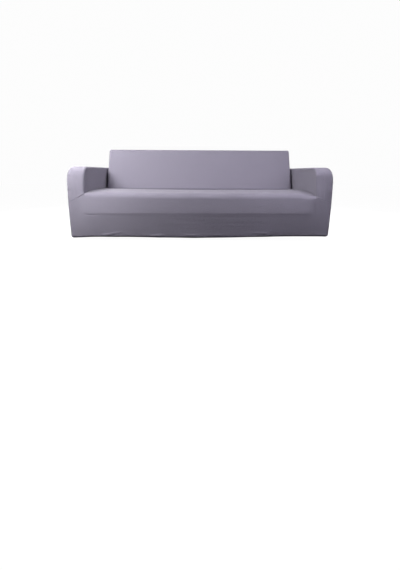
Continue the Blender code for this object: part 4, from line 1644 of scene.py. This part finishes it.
    def light(self, box: SoftBox) -> None:
        """Hang one soft box and turn it to its aim.

        Args:
            box: the soft box.
        """
        lamp = bpy.data.lights.new(box.name, "AREA")
        lamp.shape = "DISK"
        lamp.size = box.size
        lamp.energy = box.power
        lamp.color = box.tint
        holder = bpy.data.objects.new(box.name, lamp)
        place, aim = np.array(self.moved(box.place)), np.array(self.moved(box.aim))
        way = aim - place
        holder.location = place
        holder.rotation_euler = (
            math.atan2(float(np.hypot(way[0], way[1])), float(-way[2])),
            0.0,
            math.atan2(float(way[1]), float(way[0])) - math.pi / 2,
        )
        holder.visible_camera = False
        bpy.context.scene.collection.objects.link(holder)

    def world(self) -> None:
        """Even white surround."""
        world = bpy.data.worlds.new("studio")
        world.use_nodes = True
        background = world.node_tree.nodes["Background"]
        background.inputs["Color"].default_value = (*WHITE, 1.0)
        background.inputs["Strength"].default_value = self.ambient
        bpy.context.scene.world = world

    def camera(self) -> None:
        """Camera at the photograph's place and angle."""
        data = bpy.data.cameras.new("camera")
        data.lens = self.lens
        data.sensor_fit = "AUTO"
        data.sensor_width = self.sensor
        data.shift_y = self.shift_y
        camera = bpy.data.objects.new("camera", data)
        camera.location = self.moved(self.camera_place)
        camera.rotation_euler = [math.radians(angle) for angle in self.camera_turn]
        bpy.context.scene.collection.objects.link(camera)
        bpy.context.scene.camera = camera


@dataclass
class Cover:
    """The whole cover: where it is cut, how it drapes, and the finishes of its face side and reverse."""

    plan: CutPlan = field(default_factory=CutPlan)
    drape: Drape = field(default_factory=Drape)
    face: Knit = field(default_factory=Knit)
    reverse: Knit = field(default_factory=lambda: Knit(name="knit_reverse", relief=0.3))

    def panels(self) -> list[Panel]:
        """Cut the pieces.

        Returns:
            The nine panels in sewing order, with their flat sizes in metres.
        """
        plan = self.plan
        seat, back = ("seat_front_cloth",), ("back_inside_cloth",)
        pieces = [
            Panel("seat_front", plan.seat_front(), flat=(2.20, 0.99), area=1.95),
            Panel("back_inside", plan.back_inside(), flat=(1.88, 0.54), rests_on=seat),
        ]
        for end in Side:
            side, word = end.value, end.word
            sleeve = (f"arm_sleeve_{word}_cloth",)
            pieces += [
                Panel(f"arm_sleeve_{word}", plan.sleeve(side), (0.93, 0.93), 0.75, seat),
                Panel(f"arm_front_{word}", plan.facing(side), (0.070, 0.222), 0.0125, sleeve),
                Panel(f"back_gusset_{word}", plan.gusset(side), (0.22, 0.415), 0.068, back),
            ]
        return pieces + [Panel("back_outside", plan.back_outside(), (2.20, 0.79), 1.61, back)]

    def build(self) -> None:
        """Sew every panel and dress it."""
        tailor = Tailor(self.plan, self.drape)
        finishes = [self.face.build(), self.reverse.build()]
        for panel in self.panels():
            panel.make(tailor, finishes)


def main() -> None:
    """Sew the cover, then set up the studio."""
    logging.basicConfig(level=logging.INFO, format="%(name)s: %(message)s")
    bpy.context.scene.view_settings.view_transform = "Standard"
    cover = Cover()
    cover.build()
    Studio(origin=tuple(float(v) for v in cover.plan.form.origin)).build()
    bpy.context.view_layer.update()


if __name__ == "__main__":
    main()
